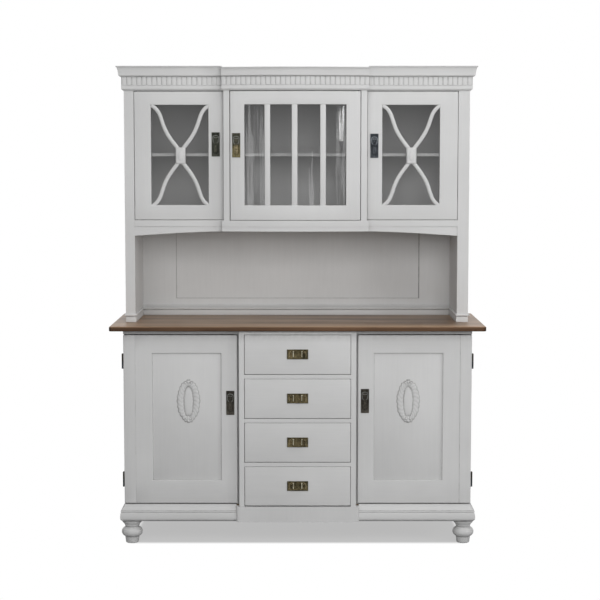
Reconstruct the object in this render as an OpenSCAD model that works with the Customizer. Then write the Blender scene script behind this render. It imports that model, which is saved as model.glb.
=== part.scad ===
// China cabinet in two parts: a base with two panelled doors and four drawers, and an upper
// case with an open niche and three glazed doors. The middle of the upper case stands forward
// and is bowed. The frame's origin is the middle of the footprint on the floor, +Z is up and
// the front faces -Y. Lengths are in millimetres.

/* [Overall] */
// Height from the floor to the top of the cornice
total_h = 1998; // [1990:1:2010]
// Outside width of the base
case_w = 1452; // [1440:2:1460]

/* [Worktop] */
// Width of the worktop
top_w = 1560; // [1540:2:1600]
// Depth of the worktop
top_d = 575; // [570:1:600]
// Thickness of the worktop
top_t = 20; // [18:1:24]
// How far the worktop overhangs both cases at the back
top_back = 45; // [30:1:60]
// Height of the worktop's upper face
top_z = 922; // [915:1:930]
// Radius of the worktop's corners in plan
top_corner_r = 9; // [4:1:14]

/* [Base case] */
// Height of the turned feet
foot_h = 97; // [94:0.5:100]
// Height of the plinth moulding
plinth_h = 71.5; // [70:0.5:74]
// How far the lower doors stand behind the worktop's front edge
base_set = 45; // [40:1:50]
// How far the drawer section stands forward of the lower doors
drawer_step = 25; // [20:1:28]
// Outside width of the drawer section
drawer_section_w = 487; // [480:1:494]
// Thickness of the carcass boards
board_t = 20; // [18:1:22]
// Thickness of the doors
door_t = 22; // [20:1:24]

/* [Drawers] */
// Thickness of the rails between the drawers
rail_t = 17; // [15:1:20]
// Depth of a drawer box behind its front
drawer_d = 450; // [420:5:455]
// Height of a drawer box's sides
drawer_side_h = 130; // [110:5:140]

/* [Upper case] */
// How far the front of the upper case stands behind the worktop's front edge
upper_set = 182; // [175:1:190]
// How far the upper case's middle line stands to the right of the base's
upper_shift = -9.5; // [-11:0.5:0]
// Distance from that line to the left front post
left_post_in = 678; // [676:0.5:682]
// Distance from that line to the right front post
right_post_in = 684.5; // [680:0.5:686]
// Width of the left front post
left_post_w = 41; // [40:0.5:44]
// Width of the right front post
right_post_w = 47.5; // [44:0.5:49]
// Height of the upper face of the niche's ceiling board
niche_top_z = 1355; // [1350:1:1364]
// How far the middle section stands forward at its ends
upper_step = 32; // [28:1:36]
// How much further the middle section bows forward
bow_rise = 28; // [22:1:34]
// Half the width of the middle section
bow_half = 308; // [306:1:310]
// How much lower the cornice of the middle section ends
middle_drop = 6; // [0:1:8]

/* [Fittings] */
// Running clearance round a hinge pin
pin_play = 0.05; // [0.02:0.01:0.09]
// Radius of the pivot pins of the glazed doors
pivot_r = 3; // [2.5:0.1:3.5]
// Radius of the hinge barrels of the lower doors
barrel_r = 4.5; // [4.3:0.1:4.6]

/* [Hidden] */

paint = [0.78, 0.78, 0.77];
bare_wood = [0.72, 0.60, 0.44];
brown_wood = [0.40, 0.29, 0.20];
metal = [0.30, 0.27, 0.21];
pane = [0.75, 0.82, 0.82, 0.4];

front = -top_d / 2;
case_back = top_d / 2 - top_back;
case_half = case_w / 2;
base_y = front + base_set;
drawer_y = base_y - drawer_step;
carcass_y = base_y + door_t + 1;
section_half = drawer_section_w / 2;
partition_t = 21.5;
stop_w = 20;
drawer_half = section_half - partition_t;
plinth_top = foot_h + plinth_h;
worktop_z = top_z - top_t;
base_top_t = 15;
base_top_z = worktop_z - base_top_t;
back_t = 8;

// Drawers: the lowest is number 4
drawer_z0 = plinth_top - 3;
floor_z = drawer_z0 - 2.5;
opening_h = (base_top_z - drawer_z0 - 3 * rail_t) / 4;
drawer_pitch = opening_h + rail_t;
drawer_gap = 1.5;
drawer_proud = 2;
rail_d = 60;
runner_w = 18;
function opening_z(n) = drawer_z0 + (4 - n) * drawer_pitch;

// Lower doors
lower_out = case_half;
lower_in = section_half + 8;
lower_z0 = plinth_top + 4;
lower_z1 = base_top_z - 4;
lower_panel_x = [319, 606];
lower_panel_z = [269.5, 806];
strip_w = 48.5;
ornament_z = 605;
hinge_y = base_y + door_t + 0.5;
hinge_x = case_half + barrel_r + 0.4;
hinge_z = [239, 739];
hinge_h = 62;
hinge_pin_r = 1.8;

// Upper case
upper_y = front + upper_set;
runner_z = top_z + 24;
lip_groove = 2.5;
lip_h = 8.5;
lip_z = runner_z + lip_groove;
upper_z0 = lip_z + lip_h;
upper_floor_t = 26;
apron_z1 = niche_top_z - upper_floor_t;
top_board_z = 1896.5;
fillet_h = 22;
band_z = top_board_z + fillet_h;
crown_z = band_z + 36;
post_d = 43;
back_panel_t = 20;
panel_depth = 7;
back_panel_y = case_back - back_panel_t;
ledge_y = back_panel_y - 22;
bow_y = upper_y - upper_step - bow_rise;
bow_r = (bow_half * bow_half + bow_rise * bow_rise) / (2 * bow_rise);
bow_cy = bow_y + bow_r;
bow_fn = 720;
stile_in = 275;
stile_out = 300.5;
shelf_z = 1623.5;
shelf_t = 12.5;

// Glazed doors
pane_t = 3;
pane_set = 12;
upper_door_z = [niche_top_z + 1.5, top_board_z - 2.5];
window_z = [1418.5, 1838];
side_window_x = [365, 607];
side_pivot_y = upper_y + 5;
middle_half = stile_in - 2.5;
middle_window = 212.5;
middle_pivot_x = middle_half - 10;
middle_pivot_y = bow_front(middle_pivot_x) + 5;
bar_x = [-116.5, -3, 115.5];
bar_w = 24;
pivot_h = 13;
function bow_front(x) = bow_cy - sqrt(bow_r * bow_r - x * x);

// The two ends of the upper case, from its own middle line: the right post is wider
function post_in(right) = right ? right_post_in : left_post_in;
function upper_out(right) = right ? right_post_in + right_post_w : left_post_in + left_post_w;
function side_pivot_x(right) = post_in(right) - 11.5;

// Plates, drops and bails
plate_w = 34;
plate_h = 101;
plate_t = 2;
drop_pivot = 4;
drop_out = 5;
drop_len = 42;
bail_plate = [88, 41];
bail_pivot_z = 12;
bail_out = 5.5;
bail_half = 17.5;
bail_len = 26;
lug_x = 20;

module block(x, y, z) {
    translate([x[0], y[0], z[0]]) cube([x[1] - x[0], y[1] - y[0], z[1] - z[0]]);
}

module both() {
    children();
    mirror([1, 0, 0]) children();
}

// Built for the right, and turned over for the left
module half(right) {
    if (right) children();
    else mirror([1, 0, 0]) children();
}

// Puts a part of the upper case, drawn about its own middle line, in place
module upper() {
    translate([upper_shift, 0, 0]) children();
}

// Stands a drawing in X and Z up, with its thickness towards +Y from y
module upright(y, t) {
    translate([0, y + t, 0]) rotate([90, 0, 0]) linear_extrude(t) children();
}

// Points of an ellipse whose edge has lobes
function oval(a, b, lobes = 0, depth = 0, n = 96) =
    [for (i = [0 : n - 1]) let (t = 360 * i / n, k = 1 + depth * abs(sin(lobes * t / 2)))
        [a * k * cos(t), b * k * sin(t)]];

// ---- Base ----

foot_profile = concat(
    [[0, 0], [24, 0], [26, 1.4], [27.2, 5], [29.6, 25], [30, 28]],
    [for (a = [-60 : 12 : 60]) [19.5 + 24.5 * cos(a), 47 + 21.4 * sin(a)]],
    [[29.4, 67.6], [28.2, 69.6], [29.4, 71.4], [30.8, 74], [32, 78.5], [34.5, 82], [37.6, 85],
     [39.8, 87.6], [41.2, 90.5], [41.5, 93], [41.5, foot_h], [0, foot_h]]);
foot_x = case_half - 27.5;
foot_ys = [base_y + 30, case_back - 30];

module feet() {
    color(paint) both() for (y = foot_ys)
        translate([foot_x, y, 0]) rotate_extrude($fn = 96) polygon(foot_profile);
}

// Section of the plinth: distance outside the case face, and height
plinth_section = [
    [-board_t, 0], [5, 0], [8, 0.8], [11, 2.6], [13.8, 4.9], [16.2, 7.6], [17.5, 10.8], [18, 15],
    [18, 20], [17.6, 26], [16.9, 31], [15.8, 36.2], [14.6, 38.4], [14.6, 39.2], [15.4, 40.6],
    [15.6, 43], [15.2, 45.4], [13.2, 46.8], [12.8, 48], [10.6, 50.4], [8.2, 53], [5.6, 56.4],
    [3.4, 60], [1.9, 63.4], [0.8, 67], [0.2, 69.4], [0, plinth_h], [-board_t, plinth_h]];
plinth_profile = [for (p = plinth_section) [p[0], p[1] + foot_h]];

// A moulding along X on the front face y, from x0 out to a mitre at the side face x1
module front_moulding(profile, y, x0, x1, reach) {
    difference() {
        translate([x0, y, 0]) rotate([90, 0, 90]) mirror([1, 0, 0])
            linear_extrude(x1 + reach - x0) polygon(profile);
        translate([x1, y, 0]) rotate([0, 0, 45]) block([0, 80], [-80, 80], [0, total_h + 1]);
    }
}

// The same moulding along Y on the side face x1
module side_moulding(profile, y, x1, reach) {
    difference() {
        translate([x1, case_back, 0]) rotate([90, 0, 0])
            linear_extrude(case_back - y + reach) polygon(profile);
        translate([x1, y, 0]) rotate([0, 0, 45]) block([-80, 0], [-80, 80], [0, total_h + 1]);
    }
}

floor_t = 18;
plinth_middle_x = section_half + 13.5;

module plinth_moulding() {
    color(paint) {
        both() {
            front_moulding(plinth_profile, base_y, plinth_middle_x, case_half, 24);
            side_moulding(plinth_profile, base_y, case_half, 24);
            for (y = [base_y + board_t, case_back - board_t - 60])
                block([case_half - board_t - 60, case_half - board_t], [y, y + 60],
                      [foot_h, floor_z - floor_t]);
        }
        block([board_t - case_half, case_half - board_t],
              [case_back - board_t, case_back], [foot_h, floor_z]);
    }
}

module plinth_middle() {
    z0 = foot_h + 1;
    color(paint) translate([0, 0, z0]) linear_extrude(floor_z - z0) {
        x = plinth_middle_x;
        y0 = drawer_y - 3;
        y1 = base_y;
        r = 12;
        translate([-x, y0 + r]) square([2 * x, y1 - y0 - r]);
        translate([r - x, y0]) square([2 * (x - r), y1 - y0]);
        for (s = [-1, 1]) translate([s * (x - r), y0 + r]) circle(r = r, $fn = 64);
    }
}

module base_floor() {
    x = case_half - board_t;
    z = [floor_z - floor_t, floor_z];
    color(bare_wood) {
        block([-x, x], [base_y + board_t, case_back - board_t], z);
        block([-section_half, section_half], [base_y, base_y + board_t], z);
    }
}

module base_sides() {
    color(paint) both() difference() {
        block([case_half - board_t, case_half], [carcass_y, case_back], [plinth_top, base_top_z]);
        block([case_half - 5, case_half + 1], [carcass_y + 62, case_back - 62],
              [plinth_top + 90, base_top_z - 72]);
    }
}

module base_back() {
    x = case_half - board_t;
    color(bare_wood)
        block([-x, x], [case_back - back_t, case_back], [floor_z, base_top_z]);
}

// The partitions are the front stiles too, and each has a strip that its door closes on
module base_partitions() {
    z = [floor_z, base_top_z];
    color(paint) both() {
        block([drawer_half, section_half], [drawer_y, case_back - back_t], z);
        block([section_half, section_half + stop_w], [carcass_y, carcass_y + 18], z);
    }
}

module drawer_rails() {
    color(paint) for (n = [1 : 3])
        block([-drawer_half, drawer_half], [drawer_y, drawer_y + rail_d],
              [opening_z(n) - rail_t, opening_z(n)]);
}

module drawer_runners() {
    color(bare_wood) for (n = [1 : 4]) both()
        block([drawer_half - runner_w, drawer_half], [drawer_y + rail_d, case_back - 20],
              [n == 4 ? floor_z : opening_z(n) - rail_t, opening_z(n)]);
}

module base_top() {
    z = [base_top_z, worktop_z];
    color(paint) {
        block([-case_half, case_half], [base_y, case_back], z);
        block([-section_half, section_half], [drawer_y, base_y], z);
    }
}

module worktop() {
    x = top_w / 2;
    y = top_d / 2;
    r = top_corner_r;
    color(brown_wood) translate([0, 0, worktop_z]) linear_extrude(top_t) {
        square([2 * x, 2 * (y - r)], center = true);
        square([2 * (x - r), 2 * y], center = true);
        for (sx = [-1, 1], sy = [-1, 1])
            translate([sx * (x - r), sy * (y - r)]) circle(r = r, $fn = 64);
    }
}

// ---- Upper case ----

// Side and back runners that the upper case stands on, each with a lip along its top
module case_runners() {
    z = [top_z, runner_z];
    lip = [lip_z, upper_z0];
    lip_y = ledge_y - 7;
    color(paint) {
        for (right = [false, true]) half(right) {
            block([post_in(right) - 3, upper_out(right)], [upper_y - 1, case_back], z);
            block([post_in(right), upper_out(right) - 3], [upper_y + 2, case_back],
                  [runner_z, lip_z]);
            block([post_in(right) - 6.5, upper_out(right) + 6.5], [upper_y - 6, case_back], lip);
        }
        block([3 - left_post_in, right_post_in - 3], [ledge_y, case_back], z);
        block([-left_post_in, right_post_in], [ledge_y + 3, case_back], [runner_z, lip_z]);
        block([6.5 - left_post_in, right_post_in - 6.5], [lip_y, case_back], lip);
        translate([-left_post_in, 0, 0]) rotate([90, 0, 90])
            linear_extrude(left_post_in + right_post_in)
                polygon([[lip_y, upper_z0], [back_panel_y, upper_z0], [back_panel_y, upper_z0 + 11]]);
    }
}

module posts() {
    color(paint) for (right = [false, true]) half(right)
        block([post_in(right), upper_out(right)], [upper_y, upper_y + post_d],
              [upper_z0, top_board_z]);
}

// Panelled sides: a board flush with the posts inside, a rear post and three rails outside
module upper_sides() {
    y0 = upper_y + post_d;
    y1 = case_back - post_d;
    color(paint) for (right = [false, true]) half(right) {
        skin = post_in(right) + 22;
        block([post_in(right), skin], [y0, y1], [upper_z0, top_board_z]);
        block([post_in(right), upper_out(right)], [y1, case_back], [upper_z0, top_board_z]);
        for (z = [[upper_z0, upper_z0 + 80], [apron_z1 - 44, niche_top_z + 13],
                  [top_board_z - 80, top_board_z]])
            block([skin, upper_out(right) - 3], [y0, y1], z);
    }
}

module upper_back() {
    x = [-left_post_in, right_post_in];
    color(paint) {
        block(x, [back_panel_y + panel_depth, case_back], [upper_z0, apron_z1]);
        block(x, [case_back - back_t, case_back], [niche_top_z, top_board_z]);
    }
}

// Frame in front of the niche's back; its opening stands in the middle of the base
module niche_frame() {
    y = [back_panel_y, back_panel_y + panel_depth];
    z = [upper_z0, apron_z1];
    panel_x = [-540 - upper_shift, 540 - upper_shift];
    panel_z = [upper_z0 + 38, apron_z1 - 26];
    color(paint) {
        block([-left_post_in, panel_x[0]], y, z);
        block([panel_x[1], right_post_in], y, z);
        block(panel_x, y, [z[0], panel_z[0]]);
        block(panel_x, y, [panel_z[1], z[1]]);
    }
}

// Plan of the bowed middle section in front of y, grown outwards by p
module bow_plan(p, y) {
    intersection() {
        translate([0, bow_cy]) circle(r = bow_r + p, $fn = bow_fn);
        translate([-bow_half, bow_y - 60]) square([2 * bow_half, y - bow_y + 60]);
    }
}

// Strip of the bow between p0 and p1 outside its face, over a range of X
module bow_strip(p, x, z) {
    translate([0, 0, z[0]]) linear_extrude(z[1] - z[0]) intersection() {
        difference() {
            translate([0, bow_cy]) circle(r = bow_r + p[1], $fn = bow_fn);
            translate([0, bow_cy]) circle(r = bow_r + p[0], $fn = bow_fn);
        }
        translate([x[0], bow_y - 60]) square([x[1] - x[0], 200]);
    }
}

module upper_floor() {
    color(paint) {
        block([-left_post_in, right_post_in], [upper_y, case_back], [apron_z1, niche_top_z]);
        translate([0, 0, apron_z1]) linear_extrude(upper_floor_t) bow_plan(0, upper_y);
    }
}

// Thin rail under the niche's ceiling: low at the posts, rising to the middle section
module apron() {
    low_z = apron_z1 - 40;
    high_z = apron_z1 - 20;
    rise_r = 6000;
    color(paint) {
        for (right = [false, true]) half(right) difference() {
            block([bow_half, post_in(right)], [upper_y + 3, upper_y + 23], [low_z, apron_z1]);
            upright(upper_y, 30) intersection() {
                polygon([[bow_half - 1, low_z - 1], [post_in(right) + 1, low_z - 1],
                         [post_in(right) + 1, low_z], [bow_half - 1, high_z + 4]]);
                translate([bow_half - 120, high_z - rise_r]) circle(r = rise_r, $fn = 1440);
            }
        }
        bow_strip([-23, -3], [-bow_half, bow_half], [high_z, apron_z1]);
        both() difference() {
            block([bow_half - 18, bow_half], [bow_y, upper_y + 23], [high_z, apron_z1]);
            translate([0, bow_cy, high_z - 1]) cylinder(h = 42, r = bow_r - 23, $fn = bow_fn);
            translate([0, 0, high_z - 1]) linear_extrude(42) difference() {
                translate([0, bow_y - 60]) square([bow_half + 1, 200]);
                translate([0, bow_cy]) circle(r = bow_r - 23, $fn = bow_fn);
            }
        }
    }
}

// Front stiles between the glazed doors, with the partition boards behind them
module upper_partitions() {
    z = [niche_top_z, top_board_z];
    color(paint) both() {
        translate([0, 0, z[0]]) linear_extrude(z[1] - z[0]) intersection() {
            translate([0, bow_cy]) circle(r = bow_r, $fn = bow_fn);
            translate([stile_in, bow_y]) square([stile_out - stile_in, upper_y + door_t - bow_y]);
        }
        block([stile_out - 18, stile_out], [upper_y + door_t, case_back - back_t], z);
    }
}

module upper_top() {
    color(paint) {
        block([-upper_out(false), upper_out(true)], [upper_y, case_back], [top_board_z, band_z]);
        translate([0, 0, top_board_z]) linear_extrude(fillet_h) bow_plan(0, upper_y);
    }
}

fillet_profile = [
    [0, top_board_z], [2, top_board_z], [8, top_board_z + 5], [10, top_board_z + 8],
    [10, band_z - 2], [8, band_z], [0, band_z]];

// Section of the crown: distance outside the face, and height as a share of the whole
crown_section = [
    [-18, 0], [14, 0], [20, 0.11], [20.5, 0.19], [21.5, 0.4], [23, 0.61], [25, 0.77], [27, 0.86],
    [29.5, 0.91], [30, 0.935], [30, 1], [-18, 1]];
crown_h = total_h - crown_z;
function crown_profile(h) = [for (p = crown_section) [p[0], crown_z + p[1] * h]];

// A moulding round the bowed middle section, filled in behind its back down to a depth
module bow_moulding(profile, depth, h) {
    intersection() {
        translate([0, bow_cy, 0]) rotate_extrude($fn = bow_fn) union() {
            translate([bow_r, 0]) polygon(profile);
            if (depth > 18)
                translate([bow_r - depth, profile[0][1]]) square([depth - 17, h]);
        }
        block([-bow_half, bow_half], [bow_y - 60, upper_y + 40], [0, total_h + 1]);
    }
}

module cornice_fillet() {
    color(paint) {
        for (right = [false, true]) half(right) {
            front_moulding(fillet_profile, upper_y, bow_half, upper_out(right), 12);
            side_moulding(fillet_profile, upper_y, upper_out(right), 12);
        }
        bow_moulding(fillet_profile, 0, 0);
    }
}

module cornice_crown() {
    color(paint) {
        for (right = [false, true]) half(right) {
            front_moulding(crown_profile(crown_h), upper_y, bow_half, upper_out(right), 32);
            side_moulding(crown_profile(crown_h), upper_y, upper_out(right), 32);
        }
        bow_moulding(crown_profile(crown_h - middle_drop), 50, crown_h - middle_drop);
    }
}

// The reeded band: half-round reeds on a strip
reed_pitch = 20.6;
reed_h = 3;
reed_r = (reed_pitch * reed_pitch / 4 + reed_h * reed_h) / (2 * reed_h);
band_p = 8;

// A straight reeded strip along X, its outer face at y = 0 and its body towards +Y
module reed_strip(len) {
    n = round(len / reed_pitch);
    intersection() {
        union() {
            square([len, 18 + band_p]);
            for (i = [0 : n - 1])
                translate([(i + 0.5) * len / n, reed_r - reed_h]) circle(r = reed_r, $fn = 72);
        }
        translate([0, -2 * reed_h]) square([len, 18 + band_p + 2 * reed_h]);
    }
}

module reeded_band() {
    back_len = case_back - upper_y - 18;
    n = round(2 * bow_half / reed_pitch);
    color(paint) translate([0, 0, band_z]) linear_extrude(crown_z - band_z) {
        for (right = [false, true]) half(right) {
            x1 = upper_out(right) + band_p;
            translate([bow_half, upper_y - band_p]) reed_strip(x1 - bow_half);
            translate([x1, case_back - back_len]) rotate([0, 0, 90]) reed_strip(back_len);
        }
        intersection() {
            union() {
                intersection() {
                    translate([0, bow_cy]) circle(r = bow_r + band_p, $fn = bow_fn);
                    translate([-bow_half, bow_y - 60]) square([2 * bow_half, 200]);
                }
                for (i = [0 : n - 1]) let (a = asin((i + 0.5 - n / 2) * reed_pitch / bow_r))
                    translate([0, bow_cy]) rotate([0, 0, a])
                        translate([0, reed_r - reed_h - bow_r - band_p]) circle(r = reed_r, $fn = 72);
            }
            difference() {
                translate([-bow_half, bow_y - 60]) square([2 * bow_half, upper_y + 18 - bow_y + 60]);
                translate([0, bow_cy]) circle(r = bow_r - 50, $fn = bow_fn);
            }
        }
    }
}

// ---- Shelves ----

base_shelf_z = 520;
base_shelf_t = 18;
base_shelf_y = [carcass_y + 40, case_back - back_t - 2];
upper_shelf_y = [upper_y + door_t + 6, case_back - back_t - 2];

module shelves() {
    base_z = [base_shelf_z, base_shelf_z + base_shelf_t];
    upper_z = [shelf_z, shelf_z + shelf_t];
    color(paint) {
        both() block([section_half + 1, case_half - board_t - 1], base_shelf_y, base_z);
        upper() for (right = [false, true]) half(right)
            block([stile_out + 1, post_in(right) - 1], upper_shelf_y, upper_z);
        upper() block([19 - stile_out, stile_out - 19], upper_shelf_y, upper_z);
    }
}

module shelf_cleats() {
    color(bare_wood) {
        both() for (x = [[section_half, section_half + 14],
                         [case_half - board_t - 14, case_half - board_t]])
            block(x, base_shelf_y, [base_shelf_z - 20, base_shelf_z]);
        upper() for (right = [false, true]) half(right)
            for (x = [[stile_out, stile_out + 10], [post_in(right) - 10, post_in(right)],
                      [stile_out - 28, stile_out - 18]])
                block(x, upper_shelf_y, [shelf_z - 14, shelf_z]);
    }
}

// ---- Hinges ----

// One half of a barrel hinge on the side of the case: a barrel and the leaf beside it
module hinge_half(z, h, leaf_y) {
    translate([hinge_x, hinge_y, z]) cylinder(h = h, r = barrel_r, $fn = 64);
    block([case_half, case_half + 1.5], leaf_y, [z, z + h]);
}

module hinge_pins() {
    half = hinge_h / 2;
    color(metal) {
        both() for (z = hinge_z) {
            hinge_half(z, half, [hinge_y, hinge_y + 20]);
            translate([hinge_x, hinge_y, z]) cylinder(h = hinge_h - 2, r = hinge_pin_r, $fn = 64);
        }
        upper() for (p = [[-side_pivot_x(false), side_pivot_y], [side_pivot_x(true), side_pivot_y],
                          [middle_pivot_x, middle_pivot_y]]) {
            translate([p[0], p[1], niche_top_z]) cylinder(h = pivot_h, r = pivot_r, $fn = 64);
            translate([p[0], p[1], top_board_z - pivot_h]) cylinder(h = pivot_h, r = pivot_r, $fn = 64);
        }
    }
}

// Holes for the two pivot pins of a glazed door
module pivot_bores(x, y) {
    for (z = [upper_door_z[0] - 1, top_board_z - pivot_h - 0.5])
        translate([x, y, z]) cylinder(h = pivot_h + 0.5, r = pivot_r + pin_play, $fn = 64);
}

// ---- Drawers ----

module drawer_front(n) {
    z0 = opening_z(n) + drawer_gap;
    x = drawer_half - drawer_gap;
    color(paint) block([-x, x], [drawer_y - drawer_proud, drawer_y + board_t],
                       [z0, opening_z(n) + opening_h - drawer_gap]);
}

module drawer_box(n) {
    x = drawer_half - 3;
    y0 = drawer_y + board_t;
    y1 = y0 + drawer_d;
    z0 = opening_z(n) + 0.5;
    t = 12;
    color(bare_wood) {
        both() block([x - t, x], [y0, y1], [z0, z0 + drawer_side_h]);
        block([t - x, x - t], [y1 - t, y1], [z0, z0 + drawer_side_h]);
        block([t - x, x - t], [y0, y1 - t], [z0 + 3, z0 + 9]);
    }
}

// Middle height of a drawer's plate
function plate_z(n) = opening_z(n) + opening_h / 2 + 2;

// Plate with two lugs that carry the bail's ends
module drawer_plate(n) {
    y = drawer_y - drawer_proud;
    z = plate_z(n);
    color(metal) {
        block([-bail_plate[0] / 2, bail_plate[0] / 2], [y - plate_t, y],
              [z - bail_plate[1] / 2, z + bail_plate[1] / 2]);
        both() difference() {
            union() {
                translate([lug_x + 0.5, y - plate_t - bail_out, z + bail_pivot_z])
                    rotate([0, 90, 0]) cylinder(h = 5.5, r = 3.2, $fn = 48);
                block([lug_x + 0.5, lug_x + 6], [y - plate_t - bail_out, y - plate_t],
                      [z + bail_pivot_z - 2, z + bail_pivot_z + 2]);
            }
            translate([lug_x - 1, y - plate_t - bail_out, z + bail_pivot_z])
                rotate([0, 90, 0]) cylinder(h = 9, r = 1.6 + pin_play, $fn = 48);
        }
    }
}

// U-shaped bail that hangs from the lugs
module drawer_bail(n) {
    y = drawer_y - drawer_proud - plate_t - bail_out;
    z = plate_z(n) + bail_pivot_z;
    color(metal) {
        both() {
            translate([bail_half - 1, y, z]) rotate([0, 90, 0])
                cylinder(h = lug_x + 6 - bail_half, r = 1.6, $fn = 48);
            translate([bail_half, y, z - bail_len]) cylinder(h = bail_len + 2, r = 2.2, $fn = 48);
            translate([bail_half, y, z - bail_len]) sphere(r = 2.2, $fn = 48);
        }
        translate([-bail_half, y, z - bail_len]) rotate([0, 90, 0])
            cylinder(h = 2 * bail_half, r = 2.2, $fn = 48);
    }
}

// ---- Glazed doors ----

// Middle line of one glazing bar, from the corner of the window to the knot
tracery_from = [125, 214];
tracery_bend = [[70, 185], [74, 104]];
tracery_to = [10, 22];
function bend(t) = pow(1 - t, 3) * tracery_from + 3 * t * pow(1 - t, 2) * tracery_bend[0]
    + 3 * t * t * (1 - t) * tracery_bend[1] + pow(t, 3) * tracery_to;
function across(t) = let (d = bend(t + 0.01) - bend(t - 0.01)) [-d[1], d[0]] / norm(d);
tracery_w = 16;
knot_z = 1625;
function knot_x(right) = (side_window_x[0] + side_window_x[1]) / 2 + (right ? 2 : -3);

module tracery(right) {
    n = 14;
    upright(upper_y + 2, pane_set - 2) intersection() {
        translate([side_window_x[0], window_z[0]])
            square([side_window_x[1] - side_window_x[0], window_z[1] - window_z[0]]);
        translate([knot_x(right), knot_z]) union() {
            for (sx = [-1, 1], sz = [-1, 1]) scale([sx, sz]) polygon(concat(
                [for (i = [0 : n]) bend(i / n) + across(i / n) * tracery_w / 2],
                [for (i = [n : -1 : 0]) bend(i / n) - across(i / n) * tracery_w / 2]));
            polygon(oval(21.5, 35, 8, 0.06));
        }
    }
}

module side_frame(right) {
    y = [upper_y, upper_y + door_t];
    color(paint) half(right) {
        difference() {
            block([side_window_x[1], post_in(right) - 1.5], y, upper_door_z);
            pivot_bores(side_pivot_x(right), side_pivot_y);
        }
        block([stile_out + 2, side_window_x[0]], y, upper_door_z);
        block(side_window_x, y, [upper_door_z[0], window_z[0]]);
        block(side_window_x, y, [window_z[1], upper_door_z[1]]);
        tracery(right);
    }
}

module side_glass(right) {
    color(pane) half(right)
        block(side_window_x, [upper_y + pane_set, upper_y + pane_set + pane_t], window_z);
}

module upper_middle_frame() {
    p = [-door_t, 0];
    color(paint) {
        difference() {
            bow_strip(p, [middle_window, middle_half], upper_door_z);
            pivot_bores(middle_pivot_x, middle_pivot_y);
        }
        bow_strip(p, [-middle_half, -middle_window], upper_door_z);
        bow_strip(p, [-middle_window, middle_window], [upper_door_z[0], window_z[0]]);
        bow_strip(p, [-middle_window, middle_window], [window_z[1], upper_door_z[1]]);
        for (x = bar_x)
            bow_strip([-pane_set, -2], [x - bar_w / 2, x + bar_w / 2], window_z);
    }
}

module upper_middle_glass() {
    color(pane) bow_strip([-pane_set - pane_t, -pane_set], [-middle_window, middle_window], window_z);
}

// Lock plate at x, y, z: y is the door's face, and turn follows the bowed door
module lock_plate(x, y, z, turn) {
    color(metal) translate([x, y, z]) rotate([0, 0, turn]) difference() {
        union() {
            block([-plate_w / 2, plate_w / 2], [-plate_t, 0], [-plate_h / 2, plate_h / 2]);
            translate([0, -plate_t, 24]) rotate([90, 0, 0]) cylinder(h = 2, r = 8, $fn = 48);
            for (sx = [-1, 1]) translate([sx * 6.8 - 1.8, -plate_t - drop_out, drop_pivot])
                rotate([0, 90, 0]) cylinder(h = 3.6, r = 2.8, $fn = 48);
            for (sx = [-1, 1]) block([sx * 6.8 - 1.8, sx * 6.8 + 1.8],
                [-plate_t - drop_out, -plate_t], [drop_pivot - 2, drop_pivot + 2]);
            translate([-8, -plate_t - drop_out, drop_pivot]) rotate([0, 90, 0])
                cylinder(h = 16, r = 1.2, $fn = 48);
        }
        translate([0, 1, 24]) rotate([90, 0, 0]) cylinder(h = 8, r = 3.5, $fn = 48);
        block([-1.5, 1.5], [-6, 1], [14, 24]);
    }
}

// Drop handle that hangs on the lock plate's pin
module drop_handle(x, y, z, turn) {
    w = 16;
    color(metal) translate([x, y, z]) rotate([0, 0, turn]) translate([0, -plate_t - drop_out, drop_pivot])
        difference() {
            union() {
                translate([-4.7, 0, 0]) rotate([0, 90, 0]) cylinder(h = 9.4, r = 2.6, $fn = 48);
                block([-4, 4], [-1.3, 1.3], [-6, 0]);
                block([-w / 2, w / 2], [-1.3, 1.3], [w / 2 - drop_len, -4]);
                translate([0, 1.3, w / 2 - drop_len]) rotate([90, 0, 0])
                    cylinder(h = 2.6, r = w / 2, $fn = 64);
            }
            translate([-6, 0, 0]) rotate([0, 90, 0]) cylinder(h = 12, r = 1.2 + pin_play, $fn = 48);
        }
}

left_plate_x = -334.5;
right_plate_x = 332;
middle_plate_x = -246.5;
middle_plate_turn = asin(middle_plate_x / bow_r);
lower_plate_x = 281;
upper_left_z = 1673;
upper_middle_z = 1669;
upper_right_z = 1667;
lower_left_z = 598;
lower_right_z = 606;

module middle_plate_place() {
    translate([0, bow_cy]) rotate([0, 0, middle_plate_turn]) translate([0, -bow_r, upper_middle_z])
        children();
}

// ---- Lower doors ----

// The door on the right; the one on the left is its mirror image
module lower_frame() {
    y = [base_y, base_y + door_t];
    z = [lower_z0, lower_z1];
    panel_y = base_y + 8;
    difference() {
        block([lower_panel_x[1], lower_out], y, z);
        block([lower_out - strip_w - 0.8, lower_out - strip_w + 0.8], [base_y - 1, base_y + 2],
              [lower_z0 - 1, lower_z1 + 1]);
    }
    block([lower_in, lower_panel_x[0]], y, z);
    block(lower_panel_x, y, [lower_z0, lower_panel_z[0]]);
    block(lower_panel_x, y, [lower_panel_z[1], lower_z1]);
    block(lower_panel_x, [panel_y, panel_y + 8], lower_panel_z);
    translate([(lower_panel_x[0] + lower_panel_x[1]) / 2, 0, ornament_z]) {
        upright(panel_y - 3, 3) difference() {
            polygon(oval(45, 88, 26, 0.07));
            polygon(oval(24, 62));
        }
        upright(panel_y - 4, 4) polygon(oval(19, 56));
    }
}

module lower_door_hinges() {
    half = hinge_h / 2;
    color(metal) for (z = hinge_z) difference() {
        hinge_half(z + half + 0.4, half - 0.4, [hinge_y - 20, hinge_y]);
        translate([hinge_x, hinge_y, z]) cylinder(h = hinge_h + 1, r = hinge_pin_r + pin_play, $fn = 64);
    }
}

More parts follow.
